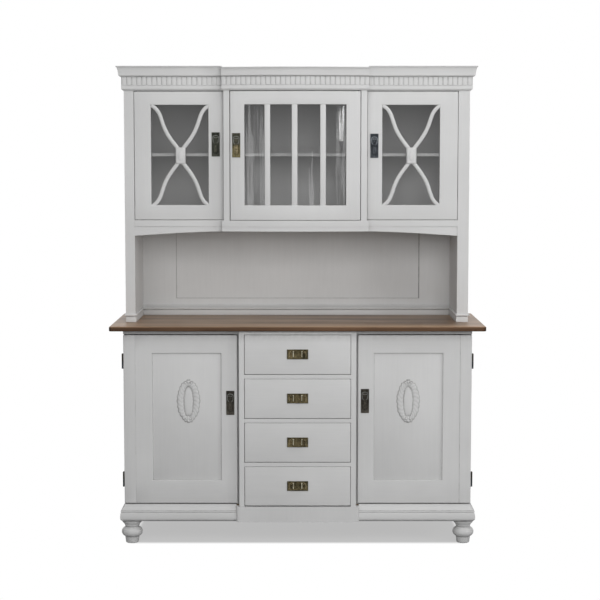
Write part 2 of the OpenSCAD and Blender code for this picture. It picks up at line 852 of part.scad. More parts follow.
feet();
plinth_moulding();
plinth_middle();
base_floor();
base_sides();
base_back();
base_partitions();
drawer_rails();
drawer_runners();
base_top();
worktop();
upper() case_runners();
upper() posts();
upper() upper_sides();
upper() upper_back();
upper() niche_frame();
upper() upper_floor();
upper() apron();
upper() upper_partitions();
upper() upper_top();
upper() cornice_fillet();
upper() reeded_band();
upper() cornice_crown();
shelves();
shelf_cleats();
hinge_pins();
for (n = [1 : 4]) {
    drawer_front(n);
    drawer_box(n);
    drawer_plate(n);
    drawer_bail(n);
}
upper() side_frame(false);  // upper_left_frame
upper() side_glass(false);  // upper_left_glass
upper() lock_plate(left_plate_x, upper_y, upper_left_z, 0);  // upper_left_plate
upper() drop_handle(left_plate_x, upper_y, upper_left_z, 0);  // upper_left_drop
upper() upper_middle_frame();
upper() upper_middle_glass();
upper() middle_plate_place() lock_plate(0, 0, 0, 0);  // upper_middle_plate
upper() middle_plate_place() drop_handle(0, 0, 0, 0);  // upper_middle_drop
upper() side_frame(true);  // upper_right_frame
upper() side_glass(true);  // upper_right_glass
upper() lock_plate(right_plate_x, upper_y, upper_right_z, 0);  // upper_right_plate
upper() drop_handle(right_plate_x, upper_y, upper_right_z, 0);  // upper_right_drop
color(paint) mirror([1, 0, 0]) lower_frame();  // lower_left_frame
union() {  // lower_left_fittings
    mirror([1, 0, 0]) lower_door_hinges();
    lock_plate(-lower_plate_x, base_y, lower_left_z, 0);
}
drop_handle(-lower_plate_x, base_y, lower_left_z, 0);  // lower_left_drop
color(paint) lower_frame();  // lower_right_frame
union() {  // lower_right_fittings
    lower_door_hinges();
    lock_plate(lower_plate_x, base_y, lower_right_z, 0);
}
drop_handle(lower_plate_x, base_y, lower_right_z, 0);  // lower_right_drop
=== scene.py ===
import bpy
import bmesh
import math
import random
from mathutils import Matrix, Vector


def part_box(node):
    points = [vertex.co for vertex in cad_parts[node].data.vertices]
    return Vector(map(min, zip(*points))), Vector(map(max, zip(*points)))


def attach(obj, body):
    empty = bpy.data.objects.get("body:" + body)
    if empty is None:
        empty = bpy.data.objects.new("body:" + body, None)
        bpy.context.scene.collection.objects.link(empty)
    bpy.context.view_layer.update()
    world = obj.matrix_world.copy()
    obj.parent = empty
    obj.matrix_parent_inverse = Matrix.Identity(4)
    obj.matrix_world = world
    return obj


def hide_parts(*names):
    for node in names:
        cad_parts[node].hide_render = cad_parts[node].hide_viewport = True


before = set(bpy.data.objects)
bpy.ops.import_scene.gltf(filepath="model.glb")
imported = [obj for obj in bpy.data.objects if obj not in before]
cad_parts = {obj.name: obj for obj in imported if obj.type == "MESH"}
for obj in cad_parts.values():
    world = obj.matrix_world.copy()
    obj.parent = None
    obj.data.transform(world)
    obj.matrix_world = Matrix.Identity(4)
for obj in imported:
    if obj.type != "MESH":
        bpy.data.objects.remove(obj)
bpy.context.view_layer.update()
print("frame loaded:", len(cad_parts), "nodes")


# Materials

def plug(tree, node, inputs):
    # Links each of the node's inputs to a socket, or sets it to a value
    for name, value in inputs.items():
        if isinstance(value, bpy.types.NodeSocket):
            tree.links.new(value, node.inputs[name])
        else:
            node.inputs[name].default_value = value


def addNode(tree, kind, inputs=None, **settings):
    made = tree.nodes.new("ShaderNode" + kind)
    for name, value in settings.items():
        setattr(made, name, value)
    plug(tree, made, inputs or {})
    return made


def newMaterial(name):
    mat = bpy.data.materials.new(name)
    mat.use_nodes = True
    return mat, mat.node_tree, mat.node_tree.nodes["Principled BSDF"]


def reckoned(tree, operation, *values):
    return addNode(tree, "Math", dict(enumerate(values)), operation=operation).outputs[0]


def times(tree, a, b):
    return reckoned(tree, "MULTIPLY", a, b)


def rescaled(tree, value, low, high, newLow=0.0, newHigh=1.0):
    ramp = addNode(tree, "MapRange", {"Value": value, "From Min": low, "From Max": high,
                                      "To Min": newLow, "To Max": newHigh})
    return ramp.outputs["Result"]


def blended(tree, factor, a, b):
    return addNode(tree, "Mix", {0: factor, 6: a, 7: b}, data_type="RGBA").outputs[2]


def placeAxes(tree):
    return addNode(tree, "SeparateXYZ", {0: addNode(tree, "TexCoord").outputs["Object"]}).outputs


def facingAxes(tree):
    return addNode(tree, "SeparateXYZ", {0: addNode(tree, "NewGeometry").outputs["Normal"]}).outputs


def noiseAt(tree, stretch, scale, detail=4.0, rough=0.55):
    coords = addNode(tree, "TexCoord")
    place = addNode(tree, "Mapping", {"Vector": coords.outputs["Object"], "Scale": stretch})
    noise = addNode(tree, "TexNoise", {"Vector": place.outputs["Vector"], "Scale": scale,
                                       "Detail": detail, "Roughness": rough})
    return noise.outputs["Fac"]


def speckled(tree, look):
    # Spots that are alike in all directions: look is the noise's settings, then its range
    noise, reach = look
    return rescaled(tree, noiseAt(tree, (1, 1, 1), *noise), *reach)


def edgeMask(tree, radius, low=0.97, high=0.80):
    # 1 on edges and corners, from how far a rounded normal turns away from the face's own
    softened = addNode(tree, "Bevel", {"Radius": radius}, samples=6)
    flat = addNode(tree, "NewGeometry")
    turn = addNode(tree, "VectorMath", {0: softened.outputs["Normal"], 1: flat.outputs["Normal"]},
                   operation="DOT_PRODUCT")
    return rescaled(tree, turn.outputs["Value"], low, high)


def addBump(tree, shader, height, strength, distance):
    bump = addNode(tree, "Bump", {"Height": height, "Strength": strength, "Distance": distance})
    tree.links.new(bump.outputs["Normal"], shader.inputs["Normal"])


def mixSurface(tree, share, first, second):
    # The surface is first, and second by its share
    mix = addNode(tree, "MixShader")
    for index, socket in enumerate((share, first, second)):
        tree.links.new(socket, mix.inputs[index])
    tree.links.new(mix.outputs[0], tree.nodes["Material Output"].inputs["Surface"])


# In these settings a noise is its scale, detail and roughness, and a range is the two values that
# come in and the two that they become
paintLook = {
    "tone": (0.640, 0.640, 0.638, 1), "shade": (0.585, 0.585, 0.583, 1), "wood": (0.090, 0.070, 0.052, 1),
    "shadeAndDirt": (0.100, 0.096, 0.092, 1), "strokes": (1.0, 5.0, 0.6), "strokeTone": (0.32, 0.68, 0, 0.32),
    "clouds": ((3.2, 3.0), (0.35, 0.65, 0, 0.68)), "inward": (0.6, 0.4),
    "dimmed": ((1.340, 1.356), (1.500, 1.860)), "crevice": 0.006, "gaps": (0.55, 0.18, 0, 0.8),
    "patches": ((9.0,), (0.40, 0.60, 0.45, 1.0)), "quirk": 0.3,
    "streaks": ((60.0, 3.0), (0.35, 0.60, 0.55, 1.0)), "edge": 0.0020, "wear": 0.42,
    "breaks": ((26.0, 6.0, 0.65), (0.47, 0.60)), "rough": (0.3, 0.7, 0.52, 0.66), "specular": 0.35,
    "bump": (0.10, 0.0006)
}


def paintMaterial(name, stretch, shadeBands=(), dim=()):
    # Painted shade darkens the lines and cuts that the pieces mark with a vertex attribute, and bands
    # at given heights, such as a moulding's grooves, each given by its height, half its width and its
    # share of painted shade; dim paints shade onto what stands behind the glazed doors, darker towards
    # the top, by its foot and by its head
    look = paintLook
    mat, tree, shader = newMaterial(name)
    strokes = noiseAt(tree, stretch, *look["strokes"])
    tone = reckoned(tree, "ADD", rescaled(tree, strokes, *look["strokeTone"]),
                    speckled(tree, look["clouds"]))
    colour = blended(tree, tone, look["shade"], look["tone"])
    height = placeAxes(tree)["Z"]
    # Painted shade inside the glazed cupboards, darker from its foot up and more so towards its head, on
    # the faces that do not face the back
    if dim:
        inward = rescaled(tree, facingAxes(tree)["Y"], *look["inward"])
        for (low, high), share in zip(look["dimmed"], dim):
            shaded = times(tree, inward, rescaled(tree, height, low, high, 0, share))
            colour = blended(tree, shaded, colour, (0, 0, 0, 1))
    # Corners, gaps and recesses darkened by ambient occlusion, in patches: painted shade, and the soil that
    # gathers there
    corner = addNode(tree, "AmbientOcclusion", {"Distance": look["crevice"]}, samples=6)
    gap = rescaled(tree, corner.outputs["AO"], *look["gaps"])
    grimeAndShade = times(tree, gap, speckled(tree, look["patches"]))
    colour = blended(tree, grimeAndShade, colour, look["shadeAndDirt"])
    # Painted shade from the marked lines and the bands at given heights, broken into streaks
    paintedShade = addNode(tree, "Attribute", attribute_name="paintedShade").outputs["Fac"]
    for line, half, depth in shadeBands:
        off = reckoned(tree, "ABSOLUTE", reckoned(tree, "SUBTRACT", height, line))
        band = rescaled(tree, off, look["quirk"] * half, half, depth, 0)
        paintedShade = reckoned(tree, "MAXIMUM", paintedShade, band)
    streaked = times(tree, paintedShade, speckled(tree, look["streaks"]))
    colour = blended(tree, streaked, colour, look["shadeAndDirt"])
    breaks = times(tree, speckled(tree, look["breaks"]), look["wear"])
    wear = times(tree, edgeMask(tree, look["edge"]), breaks)
    plug(tree, shader, {"Base Color": blended(tree, wear, colour, look["wood"]),
                        "Roughness": rescaled(tree, strokes, *look["rough"]),
                        "Specular IOR Level": look["specular"]})
    addBump(tree, shader, strokes, *look["bump"])
    return mat


def woodGrain(tree, look):
    # Fine grain, and the fine and the wide grain together
    fine = noiseAt(tree, *look["fine"])
    wide = noiseAt(tree, *look["wide"])
    return fine, reckoned(tree, "ADD", rescaled(tree, fine, *look["fineTone"]),
                          rescaled(tree, wide, *look["wideTone"]))


topLook = {
    "dark": (0.084, 0.049, 0.032, 1), "light": (0.410, 0.285, 0.190, 1),
    "edgeDark": (0.058, 0.031, 0.017, 1), "edgeLight": (0.165, 0.092, 0.052, 1),
    "paintedLight": (0.580, 0.365, 0.215, 1), "stain": (0.026, 0.015, 0.009, 1),
    "fine": ((2.6, 130, 130), 1.0, 8.0, 0.68), "fineTone": (0.36, 0.64, 0, 0.42),
    "wide": ((1.1, 12, 17), 1.0, 3.0), "wideTone": (0.42, 0.60, 0, 0.58),
    "pores": ((9, 420, 420), 1.0, 3.0, 0.6), "poreTone": (0.60, 0.72, 0, 0.55), "upward": (0.30, 0.80),
    "front": (-0.170, -0.285, 0, 0.38), "ends": (0.620, 0.740, 0, 0.32),
    "breaks": ((18.0, 5.0), (0.42, 0.62, 0, 0.8)), "edge": 0.002, "corners": (0.767, 0.777),
    "below": (0.6, 0.2, 0, 0.85), "rough": (0.3, 0.7, 0.32, 0.46), "specular": 0.22, "bump": (0.25, 0.0005)
}


def topWoodMaterial():
    # Wide boards of brown wood, lighter on top than on the moulded edge, with painted light towards the
    # front and the two ends, and with blackened end corners
    look = topLook
    mat, tree, shader = newMaterial("topWood")
    fine, grain = woodGrain(tree, look)
    pores = noiseAt(tree, *look["pores"])
    upward = rescaled(tree, facingAxes(tree)["Z"], *look["upward"])
    place = placeAxes(tree)
    along = reckoned(tree, "ABSOLUTE", place["X"])
    top = blended(tree, grain, look["dark"], look["light"])
    # Painted light: lighter towards the front and the ends, leaving the back and the middle in painted
    # shade under the upper case
    top = blended(tree, rescaled(tree, place["Y"], *look["front"]), top, look["paintedLight"])
    top = blended(tree, rescaled(tree, along, *look["ends"]), top, look["paintedLight"])
    side = blended(tree, grain, look["edgeDark"], look["edgeLight"])
    colour = blended(tree, upward, side, top)
    breaks = speckled(tree, look["breaks"])
    corners = rescaled(tree, along, *look["corners"])
    for stained in (rescaled(tree, pores, *look["poreTone"]),
                    times(tree, edgeMask(tree, look["edge"]), breaks),
                    times(tree, corners, rescaled(tree, upward, *look["below"]))):
        colour = blended(tree, stained, colour, look["stain"])
    plug(tree, shader, {"Base Color": colour, "Roughness": rescaled(tree, fine, *look["rough"]),
                        "Specular IOR Level": look["specular"]})
    addBump(tree, shader, fine, *look["bump"])
    return mat


bareLook = {
    "dark": (0.235, 0.150, 0.080, 1), "light": (0.440, 0.305, 0.175, 1),
    "fine": ((3, 60, 60), 1.0, 7.0, 0.6), "fineTone": (0.3, 0.7, 0, 0.6), "wide": ((0.8, 12, 12), 1.0, 3.0),
    "wideTone": (0.3, 0.7, 0, 0.4), "rough": 0.68, "bump": (0.3, 0.0006)
}


def bareWoodMaterial():
    look = bareLook
    mat, tree, shader = newMaterial("bareWood")
    fine, grain = woodGrain(tree, look)
    plug(tree, shader, {"Base Color": blended(tree, grain, look["dark"], look["light"]),
                        "Roughness": look["rough"]})
    addBump(tree, shader, fine, *look["bump"])
    return mat


metalLook = {
    "spots": (120.0, 6.0, 0.65), "spotTone": (0.42, 0.62, 0, 0.65),
    "drift": ((22.0, 3.0), (0.38, 0.62, 0, 0.35)), "fade": 0.006, "edge": (0.0009, 0.985, 0.85),
    "rubbed": (0.3, 0.55, 0.35, 1.0), "metallic": 0.85, "rough": (0.35, 0.65, 0.34, 0.56),
    "bump": (0.3, 0.0003)
}


def metalMaterial(name, low, high, rub, foot=None):
    # Spotted between the tones low and high, with edges rubbed bright; foot gives other tones to
    # what lies below a height
    look = metalLook
    mat, tree, shader = newMaterial(name)
    spots = noiseAt(tree, (1, 1, 1), *look["spots"])
    mixed = reckoned(tree, "ADD", rescaled(tree, spots, *look["spotTone"]), speckled(tree, look["drift"]))
    patina = blended(tree, mixed, (*low, 1), (*high, 1))
    if foot:
        line, footLow, footHigh = foot
        fade = look["fade"]
        under = rescaled(tree, placeAxes(tree)["Z"], line + fade, line - fade)
        patina = blended(tree, under, patina, blended(tree, mixed, (*footLow, 1), (*footHigh, 1)))
    edges = times(tree, edgeMask(tree, *look["edge"]), rescaled(tree, spots, *look["rubbed"]))
    plug(tree, shader, {"Base Color": blended(tree, edges, patina, (*rub, 1)),
                        "Metallic": look["metallic"], "Roughness": rescaled(tree, spots, *look["rough"])})
    addBump(tree, shader, spots, *look["bump"])
    return mat


glassLook = {
    "surface": {"Base Color": (0.95, 0.95, 0.95, 1), "Roughness": 0.0, "IOR": 1.45,
                "Transmission Weight": 1.0, "Specular IOR Level": 0.3},
    "ripple": (1.0, 1.0, 0.30), "drawn": (1.0, 1.0, 0.05), "finer": 5, "smooth": (1.0, 0.4),
    "bump": (0.35, 0.0012), "clear": (0.96, 0.96, 0.96, 1)
}


def glassMaterial(name, waves, lines):
    # Old glass: broad ripples, and fine lines that run up and down in the bent panes; light
    # passes straight through it
    look = glassLook
    mat, tree, shader = newMaterial(name)
    plug(tree, shader, look["surface"])
    ripple = noiseAt(tree, look["ripple"], waves, *look["smooth"])
    drawn = noiseAt(tree, look["drawn"], look["finer"] * waves, *look["smooth"])
    addBump(tree, shader, reckoned(tree, "ADD", ripple, times(tree, drawn, lines)), *look["bump"])
    path = addNode(tree, "LightPath").outputs
    unseen = reckoned(tree, "MAXIMUM", path["Is Shadow Ray"], path["Is Diffuse Ray"])
    clear = addNode(tree, "BsdfTransparent", {"Color": look["clear"]})
    mixSurface(tree, unseen, shader.outputs[0], clear.outputs[0])
    return mat


# Brush strokes run up a board or along it
upStrokes = (150, 150, 5)
alongStrokes = (5, 150, 150)
looseStrokes = (110, 110, 6)
underTopShade = ((0.8930, 0.0420, 0.20),)   # a soft painted shadow of the worktop falls on what stands just under it
# Painted shade along the crown's top edge and along its foot
crownLines = ((1.9976, 0.0026, 0.42), (1.9548, 0.0020, 0.3))
# Painted shade along the plinth moulding's lower edge and its fillets
plinthLines = ((0.0984, 0.0030, 0.40), (0.1362, 0.0022, 0.42), (0.1440, 0.0022, 0.40))
# Painted shade in the feet's grooves and necks, and just under the plinth
footLines = ((0.0268, 0.0034, 0.42), (0.0702, 0.0034, 0.50), (0.0960, 0.0050, 0.60))
paintUp = paintMaterial("paintUp", upStrokes, underTopShade)
paintAcross = paintMaterial("paintAcross", alongStrokes, underTopShade)
# The cupboards' insides, with painted shade that grows darker towards the top
paintInside = paintMaterial("paintInside", looseStrokes, dim=(0.34, 0.54))
paintCrown = paintMaterial("paintCrown", alongStrokes, crownLines)
paintPlinth = paintMaterial("paintPlinth", alongStrokes, plinthLines)
paintFeet = paintMaterial("paintFeet", looseStrokes, footLines)
topWood = topWoodMaterial()
bareWood = bareWoodMaterial()
metalTones = {
    "darkBrass": ((0.036, 0.038, 0.032), (0.100, 0.104, 0.085), (0.24, 0.23, 0.17)),
    "brownBrass": ((0.048, 0.043, 0.036), (0.115, 0.104, 0.086), (0.22, 0.20, 0.16)),
    "oliveBrass": ((0.036, 0.033, 0.019), (0.250, 0.198, 0.104), (0.38, 0.33, 0.18)),
    "middleBrass": ((0.060, 0.058, 0.046), (0.150, 0.145, 0.110), (0.40, 0.37, 0.26),
                    (1.668, (0.085, 0.078, 0.038), (0.290, 0.245, 0.130))),
    "rubbedBrass": ((0.200, 0.160, 0.085), (0.520, 0.420, 0.250), (0.75, 0.65, 0.43)),
    "paleBrass": ((0.340, 0.310, 0.210), (0.850, 0.800, 0.620), (0.95, 0.92, 0.80)),
    "greyMetal": ((0.170, 0.175, 0.165), (0.420, 0.430, 0.410), (0.60, 0.60, 0.56)),
    "paleSteel": ((0.280, 0.305, 0.335), (0.560, 0.595, 0.640), (0.70, 0.72, 0.76)),
    "darkSteel": ((0.040, 0.045, 0.051), (0.120, 0.132, 0.148), (0.26, 0.28, 0.31))}
metals = {name: metalMaterial(name, *tones) for name, tones in metalTones.items()}
flatGlass = glassMaterial("flatGlass", 7.0, 0.05)
bentGlass = glassMaterial("bentGlass", 13.0, 0.34)
print("materials made")

# The finish of the nodes that are shown as they are
nodeFinish = (
    (paintUp, ["base_sides", "base_partitions", "posts", "upper_sides", "upper_partitions",
               "plinth_middle", "niche_frame"]),
    (paintPlinth, ["plinth_moulding"]),
    (paintAcross, ["drawer_rails", "base_top", "upper_floor", "apron", "upper_top", "cornice_fillet"]),
    (paintCrown, ["cornice_crown"]),
    (paintInside, ["upper_back", "shelves"]),
    (bareWood, ["base_floor", "base_back", "drawer_runners", "shelf_cleats", "drawer_1_box",
                "drawer_2_box", "drawer_3_box", "drawer_4_box"]),
    (metals["darkSteel"], ["hinge_pins"]),
    (flatGlass, ["upper_left_glass", "upper_right_glass"]),
    (bentGlass, ["upper_middle_glass"]))
for mat, nodeNames in nodeFinish:
    for nodeName in nodeNames:
        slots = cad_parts[nodeName].data.materials
        slots.clear()
        slots.append(mat)


# Making pieces

def addObject(name, data):
    made = bpy.data.objects.new(name, data)
    bpy.context.scene.collection.objects.link(made)
    return made


def toMesh(name, bm):
    mesh = bpy.data.meshes.new(name)
    bm.to_mesh(mesh)
    bm.free()
    return mesh


def finishPiece(name, bm, materials, body, replaced=(), sharp=35):
    bmesh.ops.remove_doubles(bm, verts=bm.verts, dist=1e-6)
    for edge in bm.edges:
        edge.smooth = edge.calc_face_angle(0) < math.radians(sharp)
    for face in bm.faces:
        face.smooth = True
    mesh = toMesh(name, bm)
    for mat in materials:
        mesh.materials.append(mat)
    piece = addObject(name, mesh)
    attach(piece, body)
    if replaced:
        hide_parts(*replaced)


def joinInto(bm, part, mat=0):
    # Adds part to bm, with its materials' numbers raised by mat
    for face in part.faces:
        face.material_index += mat
    mesh = toMesh("part", part)
    bm.from_mesh(mesh)
    bpy.data.meshes.remove(mesh)


def newBox(lo, hi):
    size = Vector(hi) - Vector(lo)
    place = Matrix.Translation((Vector(hi) + Vector(lo)) / 2) @ Matrix.Diagonal((*size, 1))
    box = bmesh.new()
    bmesh.ops.create_cube(box, size=1.0, matrix=place)
    return box


def roundEdges(bm, edges, offset, segments):
    bmesh.ops.bevel(bm, geom=edges, offset=offset, segments=segments, affect="EDGES", profile=0.5,
                    material=-1)


def bentEdges(bm):
    return [edge for edge in bm.edges if edge.calc_face_angle(0) > 1]


def addBoard(bm, lo, hi, edge, segments=2):
    part = newBox(lo, hi)
    if edge:
        roundEdges(part, part.edges[:], edge, segments)
    joinInto(bm, part)


def addBall(bm, centre, radii, rings):
    part = bmesh.new()
    place = Matrix.Translation(centre) @ Matrix.Diagonal((*radii, 1))
    bmesh.ops.create_uvsphere(part, u_segments=2 * rings, v_segments=rings, radius=1.0, matrix=place)
    joinInto(bm, part)


def addRod(bm, start, end, radius, sides, mat=0):
    part = bmesh.new()
    axis = Vector(end) - Vector(start)
    turn = axis.to_track_quat("Z", "Y").to_matrix().to_4x4()
    place = Matrix.Translation((Vector(start) + Vector(end)) / 2) @ turn
    bmesh.ops.create_cone(part, cap_ends=True, segments=sides, radius1=radius, radius2=radius,
                          depth=axis.length, matrix=place)
    joinInto(bm, part, mat)


def addSweep(bm, points, radius, flat=1.0, mat=0, resolution=12):
    # A round bar along a smooth curve through points; flat squeezes it towards the first point's Y
    curve = bpy.data.curves.new("sweep", "CURVE")
    curve.dimensions = "3D"
    curve.bevel_depth = radius
    curve.bevel_resolution = 3
    curve.resolution_u = resolution
    curve.use_fill_caps = True
    line = curve.splines.new("BEZIER")
    line.bezier_points.add(len(points) - 1)
    for knot, point in zip(line.bezier_points, points):
        knot.co = point
        knot.handle_left_type = knot.handle_right_type = "AUTO"
    holder = bpy.data.objects.new("sweep", curve)
    mesh = bpy.data.meshes.new_from_object(holder)
    part = bmesh.new()
    part.from_mesh(mesh)
    y = points[0][1]
    for vert in part.verts:
        vert.co.y = y + (vert.co.y - y) * flat
    bmesh.ops.recalc_face_normals(part, faces=part.faces)
    bpy.data.meshes.remove(mesh)
    bpy.data.objects.remove(holder)
    bpy.data.curves.remove(curve)
    joinInto(bm, part, mat)


def addRing(bm, xs, zs, ys, hole, edge, groove=None, bend=None):
    # A frame in one piece round a hole, stiles in the first material and rails in the second; the
    # hole is given by its ends in X and in Z, and a groove by its line in X, its depth and its share of
    # painted shade
    part = bmesh.new()
    grid = [[part.verts.new((x, ys[0], z)) for z in zs] for x in xs]
    for i in range(len(xs) - 1):
        between = hole[0] < (xs[i] + xs[i + 1]) / 2 < hole[1]
        for j in range(len(zs) - 1):
            if not (between and hole[2] < (zs[j] + zs[j + 1]) / 2 < hole[3]):
                corners = (grid[i][j], grid[i + 1][j], grid[i + 1][j + 1], grid[i][j + 1])
                part.faces.new(corners).material_index = 1 if between else 0
    for vert in [v for v in part.verts if not v.link_faces]:
        part.verts.remove(vert)
    made = bmesh.ops.extrude_face_region(part, geom=part.faces[:])
    moved = [item for item in made["geom"] if isinstance(item, bmesh.types.BMVert)]
    bmesh.ops.translate(part, verts=moved, vec=(0, ys[1] - ys[0], 0))
    bmesh.ops.recalc_face_normals(part, faces=part.faces)
    roundEdges(part, [e for e in bentEdges(part) if e.is_convex], edge, 3)
    layer = part.verts.layers.float.new("paintedShade")
    for vert in part.verts:
        if groove and abs(vert.co.x - groove[0]) < 1e-6 and vert.co.y < ys[0] + 1e-6:
            vert.co.y += groove[1]
            vert[layer] = groove[2]
        if bend:
            vert.co.y += bend(vert.co.x)
    joinInto(bm, part)


def glazed(bm, start, amount):
    # Marks the vertices from number start on with a share of painted shade
    layer = bm.verts.layers.float.get("paintedShade") or bm.verts.layers.float.new("paintedShade")
    bm.verts.ensure_lookup_table()
    for vert in bm.verts[start:]:
        vert[layer] = amount


def spread(low, high, count):
    return [low + (high - low) * i / count for i in range(count + 1)]


def lift(bm, shift):
    bmesh.ops.translate(bm, verts=bm.verts, vec=shift)


def mirrored(half, middle=()):
    # A line that is the same left and right, from its left half, with X given from the middle
    return [(-x, z) for x, z in half] + list(middle) + [(x, z) for x, z in half[::-1]]


# Base

footShape = {
    "spread": 0.6985, "inset": 0.0440, "steps": 72, "sharp": 40,
    "foot": [(0.0, 0.0), (0.0238, 0.0), (0.0254, 0.0008), (0.0266, 0.0028), (0.0273, 0.0060),
             (0.0285, 0.0160), (0.0296, 0.0246), (0.0299, 0.0266), (0.0303, 0.0278)],
    "ball": (0.0470, 0.0195, 0.0246, 0.0215), "ballSteps": 10, "stepAngle": 6.1,
    "neck": [(0.0292, 0.0676), (0.0284, 0.0688), (0.0281, 0.0698), (0.0286, 0.0708),
             (0.0298, 0.0719), (0.0308, 0.0738), (0.0312, 0.0760), (0.0320, 0.0785),
             (0.0345, 0.0820), (0.0377, 0.0850), (0.0399, 0.0876), (0.0412, 0.0905),
             (0.0415, 0.0930), (0.0415, 0.0970), (0.0, 0.0970)]
}


def makeFeet():
    # Each is a profile of radii and heights turned round: foot, ball and neck
    look = footShape
    lo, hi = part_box("feet")
    centreZ, core, bulge, tall = look["ball"]
    profile = list(look["foot"])
    for step in range(-look["ballSteps"], look["ballSteps"] + 1):
        angle = math.radians(look["stepAngle"] * step)
        profile.append((core + bulge * math.cos(angle), centreZ + tall * math.sin(angle)))
    profile += look["neck"]
    bm = bmesh.new()
    for x in (-look["spread"], look["spread"]):
        for y in (lo[1] + look["inset"], hi[1] - look["inset"]):
            part = bmesh.new()
            ring = [part.verts.new((r, 0, z)) for r, z in profile]
            for a, b in zip(ring, ring[1:]):
                part.edges.new((a, b))
            bmesh.ops.spin(part, geom=part.verts[:] + part.edges[:], cent=(0, 0, 0), axis=(0, 0, 1),
                           angle=2 * math.pi, steps=look["steps"], use_merge=True)
            bmesh.ops.remove_doubles(part, verts=part.verts, dist=1e-6)
            bmesh.ops.recalc_face_normals(part, faces=part.faces)
            lift(part, (x, y, 0))
            joinInto(bm, part)
    finishPiece("turnedFeet", bm, [paintFeet], "case", ["feet"], sharp=look["sharp"])


topShape = {"corner": 0.009, "rim": 0.0045}


def climb(edge):
    return abs(edge.verts[0].co.z - edge.verts[1].co.z)


def makeWorktop():
    bm = newBox(*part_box("worktop"))
    roundEdges(bm, [edge for edge in bm.edges if climb(edge) > 0.01], topShape["corner"], 6)
    roundEdges(bm, [edge for edge in bentEdges(bm) if climb(edge) < 1e-5], topShape["rim"], 4)
    finishPiece("woodTop", bm, [topWood], "case", ["worktop"])


drawerFront = {"round": 0.0032}


def makeDrawerFront(number):
    lo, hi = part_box("drawer_%d_front" % number)
    bm = bmesh.new()
    addBoard(bm, lo, hi, drawerFront["round"], 4)
    finishPiece("drawerFront%d" % number, bm, [paintAcross], "drawer_%d" % number,
                ["drawer_%d_front" % number])


makeFeet()
makeWorktop()
for number in (1, 2, 3, 4):
    makeDrawerFront(number)
print("base made")


# Glazed doors

middleX = -0.0095   # the glazed doors' middle line
sideDoor = {"window": (0.365, 0.607), "low": 1.4185, "high": 1.838, "edge": 0.0024}
tracery = {
    "x": (-0.483, 0.488), "z": 1.625, "sunk": 0.0065, "bar": 0.0082, "flat": 0.72,
    "path": ((0.121, 0.211), (0.105, 0.199), (0.091, 0.181), (0.080, 0.154), (0.071, 0.127),
             (0.059, 0.100), (0.042, 0.072), (0.022, 0.045), (0.004, 0.022))
}
knot = {
    "wide": 0.0205, "tall": 0.0345, "back": 0.0050, "face": 0.0095, "round": 0.0068, "margin": 0.0012,
    "marginRound": 0.0045, "marginShade": 0.35,
    "ovals": ((0.0088, 0.56, 0.0036, 0.62, 0), (0.0086, 0.66, 0.0018, 0.72, 0.22))
}


def makeKnot(bm, centre):
    # A rounded block where the bars meet, with an oval boss in a ring of painted shade
    look = knot
    cx, y, cz = centre
    wide, tall, back, margin = look["wide"], look["tall"], look["back"], look["margin"]
    start = len(bm.verts)
    addBoard(bm, (cx - wide - margin, y - back, cz - tall - margin),
             (cx + wide + margin, y + back, cz + tall + margin), look["marginRound"], 4)
    glazed(bm, start, look["marginShade"])
    addBoard(bm, (cx - wide, y - look["face"], cz - tall), (cx + wide, y + back, cz + tall),
             look["round"], 5)
    for out, wideShare, deep, tallShare, paintedShade in look["ovals"]:
        start = len(bm.verts)
        addBall(bm, (cx, y - out, cz), (wide * wideShare, deep, tall * tallShare), 12)
        glazed(bm, start, paintedShade)


def makeSideDoor(name, side):
    lo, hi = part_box(name + "_frame")
    window = sorted(middleX + side * x for x in sideDoor["window"])
    low, high = sideDoor["low"], sideDoor["high"]
    bm = bmesh.new()
    addRing(bm, [lo[0], *window, hi[0]], [lo[2], low, high, hi[2]], (lo[1], hi[1]),
            (*window, low, high), sideDoor["edge"])
    cx, y, cz = middleX + tracery["x"][side > 0], lo[1] + tracery["sunk"], tracery["z"]
    for sx in (-1, 1):
        for sz in (-1, 1):
            points = [(cx + sx * a, y, cz + sz * b) for a, b in tracery["path"]]
            addSweep(bm, points, tracery["bar"], tracery["flat"])
    makeKnot(bm, (cx, y, cz))
    finishPiece(name.replace("upper_", "") + "DoorFrame", bm, [paintUp, paintAcross],
                name + "_door", [name + "_frame"])


bowDoor = {
    "half": 0.2725, "window": 0.2125, "rise": 0.028, "chord": 0.308, "thick": 0.022,
    "bars": (-0.1165, -0.003, 0.1155), "barHalf": 0.012, "barFront": 0.0015, "barBack": 0.0118,
    "tenon": 0.002, "barRound": 0.0026, "cutSpan": 0.424
}
bowRadius = (bowDoor["chord"] ** 2 + bowDoor["rise"] ** 2) / (2 * bowDoor["rise"])


def bent(x):
    # How far the bow stands back at x from its foremost line
    return bowRadius - math.sqrt(bowRadius ** 2 - x * x)


def addBentBoard(bm, lo, hi, edge, cuts=14):
    # A board that follows the bow, with so many cuts across the middle door's window
    part = newBox(lo, hi)
    roundEdges(part, part.edges[:], edge, 2)
    wide = (Vector(hi) - Vector(lo)).x
    count = max(2, round(cuts * wide / bowDoor["cutSpan"]))
    for i in range(1, count):
        x = lo[0] + edge + (wide - 2 * edge) * i / count
        bmesh.ops.bisect_plane(part, geom=part.verts[:] + part.edges[:] + part.faces[:],
                               plane_co=(x, 0, 0), plane_no=(1, 0, 0))
    for vert in part.verts:
        vert.co.y += bent(vert.co.x)
    joinInto(bm, part)


